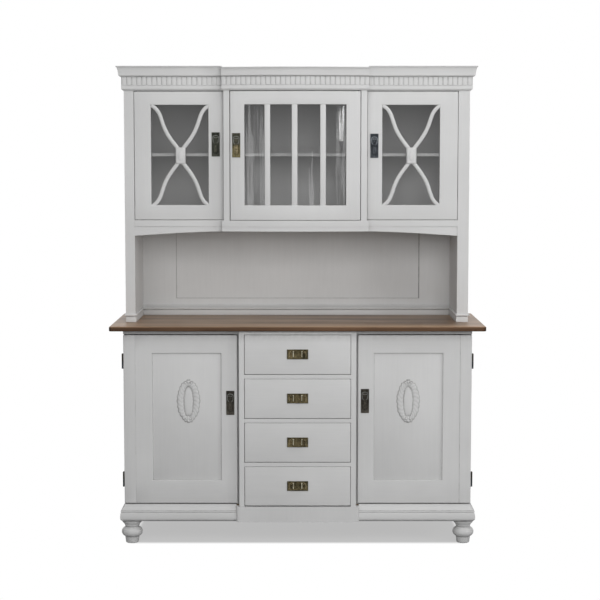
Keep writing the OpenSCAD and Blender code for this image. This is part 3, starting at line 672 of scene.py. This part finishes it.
def makeMiddleDoor():
    look = bowDoor
    lo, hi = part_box("upper_middle_frame")
    y0 = lo[1]
    half, window = look["half"], look["window"]
    low, high = sideDoor["low"], sideDoor["high"]
    bm = bmesh.new()
    xs = spread(-half, -window, 3) + spread(-window, window, 20)[1:] + spread(window, half, 3)[1:]
    addRing(bm, xs, [lo[2], low, high, hi[2]], (y0, y0 + look["thick"]),
            (-window, window, low, high), sideDoor["edge"], bend=bent)
    wide, tenon = look["barHalf"], look["tenon"]
    for x in look["bars"]:
        addBentBoard(bm, (x - wide, y0 + look["barFront"], low - tenon),
                     (x + wide, y0 + look["barBack"], high + tenon), look["barRound"])
    lift(bm, (middleX, 0, 0))
    finishPiece("middleDoorFrame", bm, [paintUp, paintAcross], "upper_middle_door",
                ["upper_middle_frame"])


caseFeet = {
    "inner": (0.678, 0.6845), "outer": (0.719, 0.732), "front": 0.006, "groove": 0.946, "lip": 0.9485,
    "top": 0.957, "ledge": 0.2005, "panel": 0.2225, "back": 0.001, "blockRound": 0.0012, "round": 0.0034
}


def makeCaseFeet():
    # Runners under the upper case: a block, a groove and a rounded lip, with a cove at the back
    look = caseFeet
    lo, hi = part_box("case_runners")
    front = lo[1] + look["front"]
    inner, outer = look["inner"], look["outer"]
    groove, lip, top = look["groove"], look["lip"], look["top"]
    bm = bmesh.new()
    for side in (-1, 1):
        near, far = inner[side > 0], outer[side > 0]
        for cut, out, step, low, high, edge in (
                (0.003, 0.0, 0.001, lo[2], groove, look["blockRound"]),
                (0.0, -0.003, -0.002, groove, lip, 0),
                (0.0065, 0.0065, 0.006, lip, top, look["round"])):
            x = sorted(middleX + side * a for a in (near - cut, far + out))
            addBoard(bm, (x[0], front - step, low), (x[1], hi[1], high), edge, 4)
    x0, x1 = middleX - inner[0], middleX + inner[1]
    ledge, panel = look["ledge"], look["panel"]
    back = hi[1] - look["back"]
    addBoard(bm, (x0 - 0.002, ledge, lo[2]), (x1 + 0.002, back, groove), look["blockRound"])
    addBoard(bm, (x0 - 0.004, ledge + 0.003, groove - 0.001), (x1 + 0.004, back, lip + 0.001), 0)
    addBoard(bm, (x0 - 0.006, ledge - 0.007, lip), (x1 + 0.006, back, top), look["round"], 4)
    cove = [(ledge - 0.005, top - 0.001), (panel - 0.012, top + 0.0025), (panel - 0.004, top + 0.0065),
            (panel, top + 0.011), (panel, top - 0.001)]
    ends = [[bm.verts.new((x, y, z)) for y, z in cove] for x in (x0, x1)]
    for i in range(len(cove)):
        j = (i + 1) % len(cove)
        bm.faces.new((ends[0][i], ends[0][j], ends[1][j], ends[1][i]))
    bm.faces.new(ends[0][::-1])
    bm.faces.new(ends[1])
    bmesh.ops.recalc_face_normals(bm, faces=bm.faces)
    finishPiece("caseFeet", bm, [paintAcross], "case", ["case_runners"])


reedLook = {
    "pitch": 0.0206, "gap": (0.0028, 0.0046), "rise": (0.0016, 0.0026), "round": 0.0015, "shift": 0.0004,
    "lean": 0.015, "sunk": 0.003, "short": 0.0004, "proud": 0.008, "paintedShade": 0.24, "board": 0.018,
    "lap": 0.001, "sideBoard": 0.026, "bowBoard": 0.058
}


def addReed(bm, place, wide, low, high, rng):
    # One flat reed of the band, its face towards the -Y of its place
    look = reedLook
    gap = rng.uniform(*look["gap"]) / 2
    shift = rng.uniform(-look["shift"], look["shift"])
    part = bmesh.new()
    addBoard(part, (gap - wide / 2 + shift, -rng.uniform(*look["rise"]), low),
             (wide / 2 - gap + shift, look["sunk"], high - look["short"]), look["round"], 3)
    middle = Vector((0, 0, (low + high) / 2))
    lean = rng.uniform(-look["lean"], look["lean"])
    tilt = Matrix.Translation(middle) @ Matrix.Rotation(lean, 4, "Y") @ Matrix.Translation(-middle)
    bmesh.ops.transform(part, matrix=place @ tilt, verts=part.verts)
    joinInto(bm, part)


def makeReeds():
    look = reedLook
    lo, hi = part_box("reeded_band")
    low, high = lo[2], hi[2]
    proud, lap = look["proud"], look["lap"]
    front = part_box("upper_left_frame")[0][1]
    face, board = front - proud, front + look["board"]
    chord, pitch = bowDoor["chord"], look["pitch"]
    rng = random.Random(7)
    bm = bmesh.new()
    for side in (-1, 1):
        end = caseFeet["outer"][side > 0] + proud
        start = len(bm.verts)
        x = sorted(middleX + side * a for a in (chord - lap, end))
        addBoard(bm, (x[0], face, low), (x[1], board, high), 0)
        x = sorted(middleX + side * a for a in (end - look["sideBoard"], end))
        addBoard(bm, (x[0], board - lap, low), (x[1], hi[1], high), 0)
        # The boards behind the reeds, seen only in the gaps between them, are darkened as painted shade
        glazed(bm, start, look["paintedShade"])
        count = round((end - chord) / pitch)
        wide = (end - chord) / count
        for i in range(count):
            at = middleX + side * (chord + (i + 0.5) * wide)
            addReed(bm, Matrix.Translation((at, face, 0)), wide, low, high, rng)
        deep = hi[1] - face
        count = round(deep / pitch)
        for i in range(count):
            at = (middleX + side * end, face + (i + 0.5) * deep / count, 0)
            addReed(bm, Matrix.Translation(at) @ Matrix.Rotation(side * math.pi / 2, 4, "Z"),
                    deep / count, low, high, rng)
    bow = bmesh.new()
    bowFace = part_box("upper_middle_frame")[0][1] - proud
    addBentBoard(bow, (-chord, bowFace, low), (chord, bowFace + look["bowBoard"], high), 0.0002, cuts=30)
    lift(bow, (middleX, 0, 0))
    # The bow's board behind the reeds is darkened as painted shade too
    glazed(bow, 0, look["paintedShade"])
    joinInto(bm, bow)
    count = round(2 * chord / pitch)
    centreY = bowFace + proud + bowRadius
    for i in range(count):
        angle = math.asin((i + 0.5 - count / 2) * 2 * chord / count / bowRadius)
        place = (Matrix.Translation((middleX, centreY, 0)) @ Matrix.Rotation(angle, 4, "Z")
                 @ Matrix.Translation((0, -bowRadius - proud, 0)))
        addReed(bm, place, 2 * chord / count, low, high, rng)
    finishPiece("reedBand", bm, [paintUp], "case", ["reeded_band"])


makeCaseFeet()
makeReeds()
makeSideDoor("upper_left", -1)
makeSideDoor("upper_right", 1)
makeMiddleDoor()
print("glazed doors made")


# Niche and lower doors

nicheLook = {
    "half": 0.540, "foot": 0.038, "head": 0.026, "left": 0.0016, "right": 0.0042, "flat": 0.0014,
    "proud": 0.0010, "sunk": 0.0006, "round": 0.0004, "paintedShade": 0.60
}


def makeNicheShadeLines():
    # Thin strips along the edge of the sunk panel behind the open niche, darkened as painted shade
    look = nicheLook
    lo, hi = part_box("niche_frame")
    half, flat = look["half"], look["flat"]
    foot, head = lo[2] + look["foot"], hi[2] - look["head"]
    bm = bmesh.new()
    for x0, x1, z0, z1 in ((-half, look["left"] - half, foot, head),
                           (half - look["right"], half, foot, head),
                           (-half, half, foot, foot + flat), (-half, half, head - flat, head)):
        addBoard(bm, (x0, hi[1] - look["proud"], z0), (x1, hi[1] + look["sunk"], z1), look["round"])
    glazed(bm, 0, look["paintedShade"])
    finishPiece("nicheShadeLines", bm, [paintUp], "case")


lowerDoor = {
    "panel": (0.319, 0.606), "low": 0.2695, "high": 0.806, "edge": 0.0034, "panelY": (0.008, 0.016),
    "tongue": 0.004, "panelRound": 0.0005, "strip": 0.6775, "stripHalf": 0.0008,
    # Each door's groove beside the strip: its depth and its share of painted shade, left door first
    "grooves": ((0.0007, 0.25), (0.0013, 0.40))
}
wreath = {
    "x": (-0.4560, 0.4618), "z": 0.6030, "outer": (0.0464, 0.0890), "inner": (0.0193, 0.0625),
    "outerPoint": 0.15, "innerPoint": -0.40, "lobes": 26, "around": 156, "scallop": 0.060,
    "leafRise": 0.0011, "twist": 3.2, "vein": (1.1, 0.32),
    # Share of the way from the outer to the inner outline, and past 1 to the middle; rise; share of painted
    # shade
    "steps": ((-0.08, 0.0001, 0.0), (-0.04, 0.0002, 0.55), (0.0, 0.0003, 0.62), (0.05, 0.0026, 0.10),
              (0.14, 0.0038, 0.0), (0.32, 0.0044, 0.0), (0.52, 0.0044, 0.0), (0.72, 0.0036, 0.0),
              (0.90, 0.0022, 0.05), (0.96, 0.0006, 0.55), (1.0, 0.0004, 0.55), (1.10, 0.0020, 0.1),
              (1.25, 0.0032, 0.0), (1.50, 0.0038, 0.0), (1.85, 0.0040, 0.0)),
    # Beads at the top and the foot: place from the end in X and Z, and radius
    "topBeads": ((0, 0, 0.0058), (-0.0115, -0.0050, 0.0042), (0.0115, -0.0050, 0.0042)),
    "footBeads": ((-0.0085, 0.0100, 0.0042), (0.0085, 0.0100, 0.0042), (0, 0, 0.0042)),
    "beadInset": 0.006, "beadRim": (0.0020, 1.5, 0.0036, 0.8), "bead": (0.0044, 0.0038)
}


def wreathPoint(t, size, point):
    # A point of a scalloped oval outline, t from its top; point draws its foot together
    wave = 1 + wreath["scallop"] * (abs(math.sin(wreath["lobes"] * t / 2)) - 0.6
                                    + 0.2 * math.sin(9 * t + 1.3))
    power = 1 + point * (1 - math.cos(t)) / 2
    return (size[0] * math.copysign(abs(math.sin(t)) ** power, math.sin(t)) * wave,
            size[1] * math.cos(t) * wave)


def makeWreath(bm, centre, y):
    # Low relief: a leafy band round a plain oval, with painted shade in the cuts along both outlines and
    # along the leaves' veins
    look = wreath
    cx, cz = centre
    around = look["around"]
    veinShade, veinWide = look["vein"]
    layer = bm.verts.layers.float.new("paintedShade")
    rings = []
    for share, rise, paintedShade in look["steps"]:
        ring = []
        onBand = 0.1 < share < 0.9
        for i in range(around):
            t = 2 * math.pi * i / around
            outer = wreathPoint(t, look["outer"], look["outerPoint"])
            inner = wreathPoint(t, look["inner"], look["innerPoint"])
            if share > 1:
                x, z = [a * (2 - share) for a in inner]
            else:
                x, z = [a + (b - a) * share for a, b in zip(outer, inner)]
            leaf = math.sin(look["lobes"] * t / 2 + look["twist"] * share) ** 2 - 0.5
            carved = look["leafRise"] * leaf if onBand else 0
            ring.append(bm.verts.new((cx + x, y - rise - carved, cz + z)))
            ring[-1][layer] = max(paintedShade, veinShade * (veinWide - abs(leaf + 0.5)) if onBand else 0)
        rings.append(ring)
    for a, b in zip(rings, rings[1:]):
        for i in range(around):
            j = (i + 1) % around
            bm.faces.new((a[i], a[j], b[j], b[i]))
    bm.faces.new(rings[-1])
    bm.faces.new(rings[0][::-1])
    bmesh.ops.recalc_face_normals(bm, faces=bm.faces)
    # Beads, each in a rim of painted shade
    end = look["outer"][1] - look["beadInset"]
    rimOut, rimShare, rimDeep, rimShade = look["beadRim"]
    out, deep = look["bead"]
    for middle, beads in ((end, look["topBeads"]), (-end, look["footBeads"])):
        for dx, dz, r in beads:
            x, z = cx + dx, cz + (middle + dz)
            start = len(bm.verts)
            addBall(bm, (x, y - rimOut, z), (rimShare * r, rimDeep, rimShare * r), 8)
            glazed(bm, start, rimShade)
            addBall(bm, (x, y - out, z), (r, deep, r), 8)


def makeLowerDoor(name, title, side):
    look = lowerDoor
    lo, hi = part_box(name + "_frame")
    px = sorted(side * x for x in look["panel"])
    low, high, tongue = look["low"], look["high"], look["tongue"]
    front, back = [lo[1] + y for y in look["panelY"]]
    strip, half = side * look["strip"], look["stripHalf"]
    bm = bmesh.new()
    xs = sorted([lo[0], *px, strip - half, strip, strip + half, hi[0]])
    addRing(bm, xs, [lo[2], low, high, hi[2]], (lo[1], hi[1]), (*px, low, high), look["edge"],
            groove=(strip, *look["grooves"][side > 0]))
    addBoard(bm, (px[0] - tongue, front, low - tongue), (px[1] + tongue, back, high + tongue),
             look["panelRound"])
    finishPiece(title + "Door", bm, [paintUp, paintAcross], name + "_door", [name + "_frame"])
    bm = bmesh.new()
    makeWreath(bm, (wreath["x"][side > 0], wreath["z"]), front)
    finishPiece(title + "Wreath", bm, [paintUp], name + "_door")


makeNicheShadeLines()
makeLowerDoor("lower_left", "leftCupboard", -1)
makeLowerDoor("lower_right", "rightCupboard", 1)
print("lower doors made")


# Plates and pulls

plateRound = 0.0005


def addPlate(bm, lo, hi, border, rise):
    # A plate with a raised border round a field sunk by rise, its face towards -Y
    part = newBox(lo, hi)
    face = min(part.faces, key=lambda f: f.calc_center_median().y)
    bmesh.ops.inset_region(part, faces=[face], thickness=border, depth=0.0)
    bmesh.ops.translate(part, verts=face.verts, vec=(0, rise, 0))
    roundEdges(part, bentEdges(part), plateRound, 2)
    joinInto(bm, part)


def addUpright(bm, x, y, zs, radius, sides, mat=0):
    addRod(bm, (x, y, zs[0]), (x, y, zs[1]), radius, sides, mat)


def addLevel(bm, xs, y, z, radius, sides, mat=0):
    addRod(bm, (xs[0], y, z), (xs[1], y, z), radius, sides, mat)


def addBosses(bm, look, y, z, foot):
    # The two bosses that carry a pull's pin, each on a stem back to foot
    for side in (-1, 1):
        x = side * look["stemX"]
        addLevel(bm, [side * end for end in look["bosses"]], y, z, look["boss"], 20)
        addRod(bm, (x, y, z), (x, foot, z), look["stem"], look["stemSides"])


# The upright lines are given by their places in X, distance from the drawer, half height and radius
drawerPlate = {
    "proud": 0.0030, "border": 0.0035, "rise": 0.0012, "rim": 0.0012, "rimOut": 0.0019,
    "lines": (((-0.0068, -0.0034, 0, 0.0034, 0.0068), 0.0018, 0.0125, 0.0013),
              ((-0.0385, 0.0385), 0.0016, 0.0130, 0.0011)),
    "curl": ((0.0335, -0.0120), (0.0345, 0.0020), (0.0305, 0.0115), (0.0255, 0.0060)),
    "curlOut": 0.0020, "curlBar": 0.0012,
    "bosses": (0.0206, 0.0258), "boss": 0.0031, "stemX": 0.0232, "stem": 0.0024, "stemSides": 16,
    "stemFoot": 0.001, "roseOut": 0.0022, "rose": (0.0052, 0.0018, 0.0052)
}
drawerBail = {
    "out": 0.0075, "up": 0.012, "pins": (0.0165, 0.0249), "pin": 0.0015, "x": 0.0175,
    "knob": (0.0034, 0.0032, 0.0034), "beads": (0.0055, 0.0100, 0.0145, 0.0190),
    "bead": (0.0027, 0.0027, 0.0026), "long": 0.024, "core": 0.0019,
    "curl": ((0.0175, -0.022), (0.0168, -0.0262), (0.0125, -0.0268)), "curlBar": 0.0022,
    "barEnd": (0.0130, -0.0148), "barMiddle": (0, -0.0152), "bar": 0.0021
}


def makeDrawerPlate(number):
    look = drawerPlate
    lo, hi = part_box("drawer_%d_plate" % number)
    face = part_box("drawer_%d_front" % number)[0][1]
    middle = (lo[2] + hi[2]) / 2
    pivotY, pivotZ = face - drawerBail["out"], middle + drawerBail["up"]
    bm = bmesh.new()
    addPlate(bm, (lo[0], face - look["proud"], lo[2]), (hi[0], face, hi[2]), look["border"], look["rise"])
    rim, y = look["rim"], face - look["rimOut"]
    xs, zs = (lo[0] + rim, hi[0] - rim), (lo[2] + rim, hi[2] - rim)
    for z in zs:
        addLevel(bm, xs, y, z, rim, 8, mat=2)
    for x in xs:
        addUpright(bm, x, y, zs, rim, 8, mat=2)
    for places, out, tall, radius in look["lines"]:
        for x in places:
            addUpright(bm, x, face - out, (middle - tall, middle + tall), radius, 8)
    for side in (-1, 1):
        curl = [(side * x, face - look["curlOut"], middle + z) for x, z in look["curl"]]
        addSweep(bm, curl, look["curlBar"], mat=1)
        addBall(bm, (side * look["stemX"], face - look["roseOut"], pivotZ), look["rose"], 8)
    addBosses(bm, look, pivotY, pivotZ, face - look["stemFoot"])
    finishPiece("drawerPlate%d" % number, bm,
                [metals["oliveBrass"], metals["rubbedBrass"], metals["darkBrass"]], "drawer_%d" % number,
                ["drawer_%d_plate" % number])
    makeDrawerBail(number, middle, pivotY, pivotZ)


def makeDrawerBail(number, middle, y, z):
    look = drawerBail
    bm = bmesh.new()
    for side in (-1, 1):
        x = side * look["x"]
        addLevel(bm, [side * end for end in look["pins"]], y, z, look["pin"], 12)
        addBall(bm, (x, y, z), look["knob"], 8)
        for dz in look["beads"]:
            addBall(bm, (x, y, z - dz), look["bead"], 7)
        addUpright(bm, x, y, (z, z - look["long"]), look["core"], 12)
        addSweep(bm, [(side * dx, y, z + dz) for dx, dz in look["curl"]], look["curlBar"], mat=1)
    bar = mirrored([look["barEnd"]], [look["barMiddle"]])
    addSweep(bm, [(dx, y, middle + dz) for dx, dz in bar], look["bar"], mat=1)
    finishPiece("drawerBail%d" % number, bm, [metals["paleBrass"], metals["oliveBrass"]],
                "drawer_%d_pull" % number, ["drawer_%d_bail" % number])


lockPlate = {
    "wide": 0.034, "tall": 0.101, "proud": 0.0030, "border": 0.0028, "rise": 0.0011,
    "arch": ((0, 0.0020), (0.0090, 0.0085), (0.0112, 0.0190), (0.0108, 0.0330), (0.0060, 0.0362)),
    "archY": -0.0025, "line": 0.0012, "cross": (0.0075, -0.0024, 0.0282), "keyhole": 0.0262,
    "keyRound": 0.0034, "keySlot": (0.0014, 0.0165), "keyY": (-0.0035, -0.0005), "bosses": (0.0050, 0.0086),
    "boss": 0.0028, "stemX": 0.0068, "stem": 0.0020, "stemSides": 12, "stemFoot": -0.001, "pin": 0.0080,
    "screwZ": 0.0455, "screwY": -0.0022, "screw": (0.0018, 0.0012, 0.0018),
    "archFlat": 0.8, "slotIn": 0.0001, "slotRound": 0.0003
}
lockDrop = {
    "y": -0.007, "z": 0.004, "pin": (0.0046, 0.0026), "neck": (0.0036, 0.0011, 0.0080),
    "knob": (0.0040, 0.0030, 0.0040), "line": 0.0015, "flat": 0.9,
    "tongue": ((0.0072, -0.0065), (0.0074, -0.0200), (0.0066, -0.0345)), "tip": (0, -0.0405),
    "head": (0, -0.0055), "headLine": 0.0014, "field": (0.0068, 0.0013, 0.0165), "fieldZ": 0.0225,
    "ribs": (-0.0045, -0.0015, 0.0015, 0.0045), "rib": 0.0009, "ribZ": (0.0100, 0.0360),
    "out": 0.0006, "neckRound": 0.0006, "knobDown": 0.0015
}
doorHinge = {
    "x": 0.7309, "out": 0.0005, "low": (0.239, 0.739), "tall": 0.062, "gap": 0.0004, "barrel": 0.0045,
    "cap": (0.0036, 0.0036, 0.0026), "leafX": (0.7260, 0.7275), "leafDeep": 0.020, "leafRound": 0.0004
}


def addHinges(bm, name, side):
    # The door's halves of its two barrel hinges
    look = doorHinge
    x = side * look["x"]
    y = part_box(name + "_frame")[1][1] + look["out"]
    leaf = sorted(side * end for end in look["leafX"])
    for low in look["low"]:
        z0, z1 = low + look["tall"] / 2 + look["gap"], low + look["tall"]
        addUpright(bm, x, y, (z0, z1), look["barrel"], 24)
        addBall(bm, (x, y, z1), look["cap"], 8)
        addBoard(bm, (leaf[0], y - look["leafDeep"], z0), (leaf[1], y, z1), look["leafRound"])


def makeLock(title, name, place, tones):
    # place takes the plate's own frame, face towards -Y, to where it sits; tones are the metals of
    # the plate, its engraved arch and the drop
    plateMetal, archMetal, dropMetal = [metals[tone] for tone in tones]
    look = lockPlate
    wide, tall = look["wide"] / 2, look["tall"] / 2
    y, z = lockDrop["y"], lockDrop["z"]
    bm = bmesh.new()
    addPlate(bm, (-wide, -look["proud"], -tall), (wide, 0, tall), look["border"], look["rise"])
    arch = [(dx, look["archY"], dz) for dx, dz in mirrored(look["arch"])]
    addSweep(bm, arch, look["line"], look["archFlat"], mat=1, resolution=6)
    crossX, crossY, crossZ = look["cross"]
    addLevel(bm, (-crossX, crossX), crossY, crossZ, look["line"], 8, mat=1)
    hole = look["keyhole"]
    front, back = look["keyY"]
    slotX, slotZ = look["keySlot"]
    addRod(bm, (0, front, hole), (0, back, hole), look["keyRound"], 20)
    addBoard(bm, (-slotX, front + look["slotIn"], slotZ), (slotX, back, hole), look["slotRound"])
    addBosses(bm, look, y, z, look["stemFoot"])
    addLevel(bm, (-look["pin"], look["pin"]), y, z, look["line"], 12, mat=1)
    for dz in (-look["screwZ"], look["screwZ"]):
        addBall(bm, (0, look["screwY"], dz), look["screw"], 6)
    bmesh.ops.transform(bm, matrix=place, verts=bm.verts)
    plateNode = name + "_plate"
    if name.startswith("lower"):
        addHinges(bm, name, 1 if place.translation.x > 0 else -1)
        plateNode = name + "_fittings"
    finishPiece(title + "Plate", bm, [plateMetal, archMetal], name + "_door", [plateNode])
    look = lockDrop
    bm = bmesh.new()
    addLevel(bm, (-look["pin"][0], look["pin"][0]), y, z, look["pin"][1], 20)
    neckX, neckY, neckZ = look["neck"]
    addBoard(bm, (-neckX, y - neckY, z - neckZ), (neckX, y + neckY, z), look["neckRound"])
    addBall(bm, (0, y - look["out"], z - look["knobDown"]), look["knob"], 8)
    tongue = mirrored(look["tongue"], [look["tip"]])
    addSweep(bm, [(dx, y, z + dz) for dx, dz in tongue], look["line"], look["flat"], mat=1)
    head = mirrored(look["tongue"][:1], [look["head"]])
    addSweep(bm, [(dx, y, z + dz) for dx, dz in head], look["headLine"], look["flat"], mat=1)
    addBall(bm, (0, y, z - look["fieldZ"]), look["field"], 10)
    for x in look["ribs"]:
        addUpright(bm, x, y - look["out"], [z - dz for dz in look["ribZ"]], look["rib"], 8, mat=1)
    bmesh.ops.transform(bm, matrix=place, verts=bm.verts)
    finishPiece(title + "Drop", bm, [plateMetal, dropMetal], name + "_pull", [name + "_drop"])


for number in (1, 2, 3, 4):
    makeDrawerPlate(number)
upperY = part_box("upper_left_frame")[0][1]
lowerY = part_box("lower_left_frame")[0][1]
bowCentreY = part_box("upper_middle_frame")[0][1] + bowRadius
onBow = (Matrix.Translation((middleX, bowCentreY, 1.669))
         @ Matrix.Rotation(math.asin(-0.2465 / bowRadius), 4, "Z")
         @ Matrix.Translation((0, -bowRadius, 0)))
cupboardTones = ("brownBrass", "greyMetal", "brownBrass")
makeLock("leftDoor", "upper_left", Matrix.Translation((middleX - 0.3345, upperY, 1.673)),
         ("darkBrass", "greyMetal", "darkBrass"))
makeLock("rightDoor", "upper_right", Matrix.Translation((middleX + 0.332, upperY, 1.667)),
         ("darkSteel", "paleSteel", "darkSteel"))
makeLock("middleDoor", "upper_middle", onBow, ("middleBrass", "greyMetal", "rubbedBrass"))
makeLock("leftCupboard", "lower_left", Matrix.Translation((-0.281, lowerY, 0.598)), cupboardTones)
makeLock("rightCupboard", "lower_right", Matrix.Translation((0.281, lowerY, 0.606)), cupboardTones)
print("plates and pulls made")


# Stage

stageLook = {
    "size": 30, "floor": {"Base Color": (0.34, 0.34, 0.34, 1), "Roughness": 0.9,
                          "Specular IOR Level": 0.0},
    "glow": {"Color": (1, 1, 1, 1), "Strength": 1.0}, "centre": (0, -0.01, 0),
    "half": (0.685, 0.205, 0), "fade": (0.0, 0.035, 0.47, 1.0), "world": (0, 1, 0.31, 1.0)
}


def makeStage():
    # A grey floor that the camera sees as white, but for the shadow at the cabinet's foot
    look = stageLook
    bm = bmesh.new()
    bmesh.ops.create_grid(bm, x_segments=1, y_segments=1, size=look["size"])
    mesh = toMesh("studioFloor", bm)
    mat, tree, shader = newMaterial("studioFloor")
    plug(tree, shader, look["floor"])
    path = addNode(tree, "LightPath")
    glow = addNode(tree, "Emission", look["glow"])
    # Distance outside the cabinet's footprint
    spot = addNode(tree, "TexCoord").outputs["Object"]
    for operation, other in (("SUBTRACT", look["centre"]), ("ABSOLUTE", (0, 0, 0)),
                             ("SUBTRACT", look["half"]), ("MAXIMUM", (0, 0, 0))):
        spot = addNode(tree, "VectorMath", {0: spot, 1: other}, operation=operation).outputs["Vector"]
    away = addNode(tree, "VectorMath", {0: spot}, operation="LENGTH")
    fade = rescaled(tree, away.outputs["Value"], *look["fade"])
    share = times(tree, path.outputs["Is Camera Ray"], fade)
    mixSurface(tree, share, shader.outputs[0], glow.outputs[0])
    mesh.materials.append(mat)
    floor = addObject("studioFloor", mesh)


def makeWorld():
    # White all round, but weaker for what it lights than for what is seen or mirrored
    world = bpy.data.worlds.new("studio")
    bpy.context.scene.world = world
    world.use_nodes = True
    tree = world.node_tree
    path = addNode(tree, "LightPath").outputs
    seen = reckoned(tree, "MAXIMUM", path["Is Camera Ray"], path["Is Glossy Ray"])
    seen = reckoned(tree, "MAXIMUM", seen, path["Is Transmission Ray"])
    plug(tree, tree.nodes["Background"], {"Strength": rescaled(tree, seen, *stageLook["world"]),
                                          "Color": (1, 1, 1, 1)})


def addLamp(name, place, aim, wide, tall, power):
    lamp = bpy.data.lights.new(name, "AREA")
    lamp.energy = power
    lamp.shape = "RECTANGLE"
    lamp.size = wide
    lamp.size_y = tall
    holder = addObject(name, lamp)
    holder.location = place
    holder.rotation_euler = (Vector(aim) - Vector(place)).to_track_quat("-Z", "Y").to_euler()
    holder.visible_glossy = holder.visible_transmission = False   # no lamp is mirrored in the panes
    return holder


def addGlint(name, place, aim, wide, tall, power):
    # A small light that only the panes and the metal mirror, as a bright window would be
    holder = addLamp(name, place, aim, wide, tall, power)
    holder.data.shape = "ELLIPSE"
    holder.visible_glossy = holder.visible_transmission = True
    holder.visible_diffuse = holder.visible_camera = False


lamps = {
    "keyLamp": ((0.9, -3.4, 2.2), (0.1, 0, 1.7), 1.4, 1.4, 32),
    "fillLamp": ((-1.4, -3.6, 2.3), (-0.2, 0, 1.7), 1.4, 1.4, 21),
    "frontLamp": ((0, -8.2, 1.5), (0, 0, 1.1), 2.6, 2.6, 62),
    "sideLamp": ((3.6, -2.2, 1.5), (-0.7, 0.1, 1.2), 1.6, 1.6, 32),
    "topLamp": ((0.6, -1.9, 4.0), (0.1, -0.2, 1.4), 2.4, 1.2, 22)
}
streaks = {
    "y": -5.15, "aim": (0.13, -0.24, 1.64),
    "rows": ((-1.50, 1.62, 0.13, 0.84, 0.50), (-1.32, 1.70, 0.10, 0.66, 0.18),
             (-1.15, 1.62, 0.10, 0.80, 0.34), (0.50, 1.44, 0.12, 0.50, 0.26),
             (1.37, 1.62, 0.09, 0.84, 0.26), (1.55, 1.62, 0.12, 0.84, 0.46))
}
view = {"lens": 93, "sensor": 36, "place": (0.010, -6.6495, 1.603), "dip": 5.12}

makeStage()
makeWorld()
for name, settings in lamps.items():
    addLamp(name, *settings)
addGlint("rightGlint", (1.47, streaks["y"], 1.88), (0.18, -0.24, 1.76), 0.15, 0.26, 0.75)
for number, (x, z, wide, tall, power) in enumerate(streaks["rows"], 1):
    share, aimY, aimZ = streaks["aim"]
    addGlint("streak%d" % number, (x, streaks["y"], z), (share * x, aimY, aimZ), wide, tall, power)

camera = bpy.data.cameras.new("camera")
camera.lens = view["lens"]
camera.sensor_width = view["sensor"]
holder = addObject("camera", camera)
holder.location = view["place"]
holder.rotation_euler = (math.radians(90 - view["dip"]), 0, 0)
bpy.context.scene.camera = holder
bpy.context.scene.view_settings.view_transform = "Standard"
print("stage made")
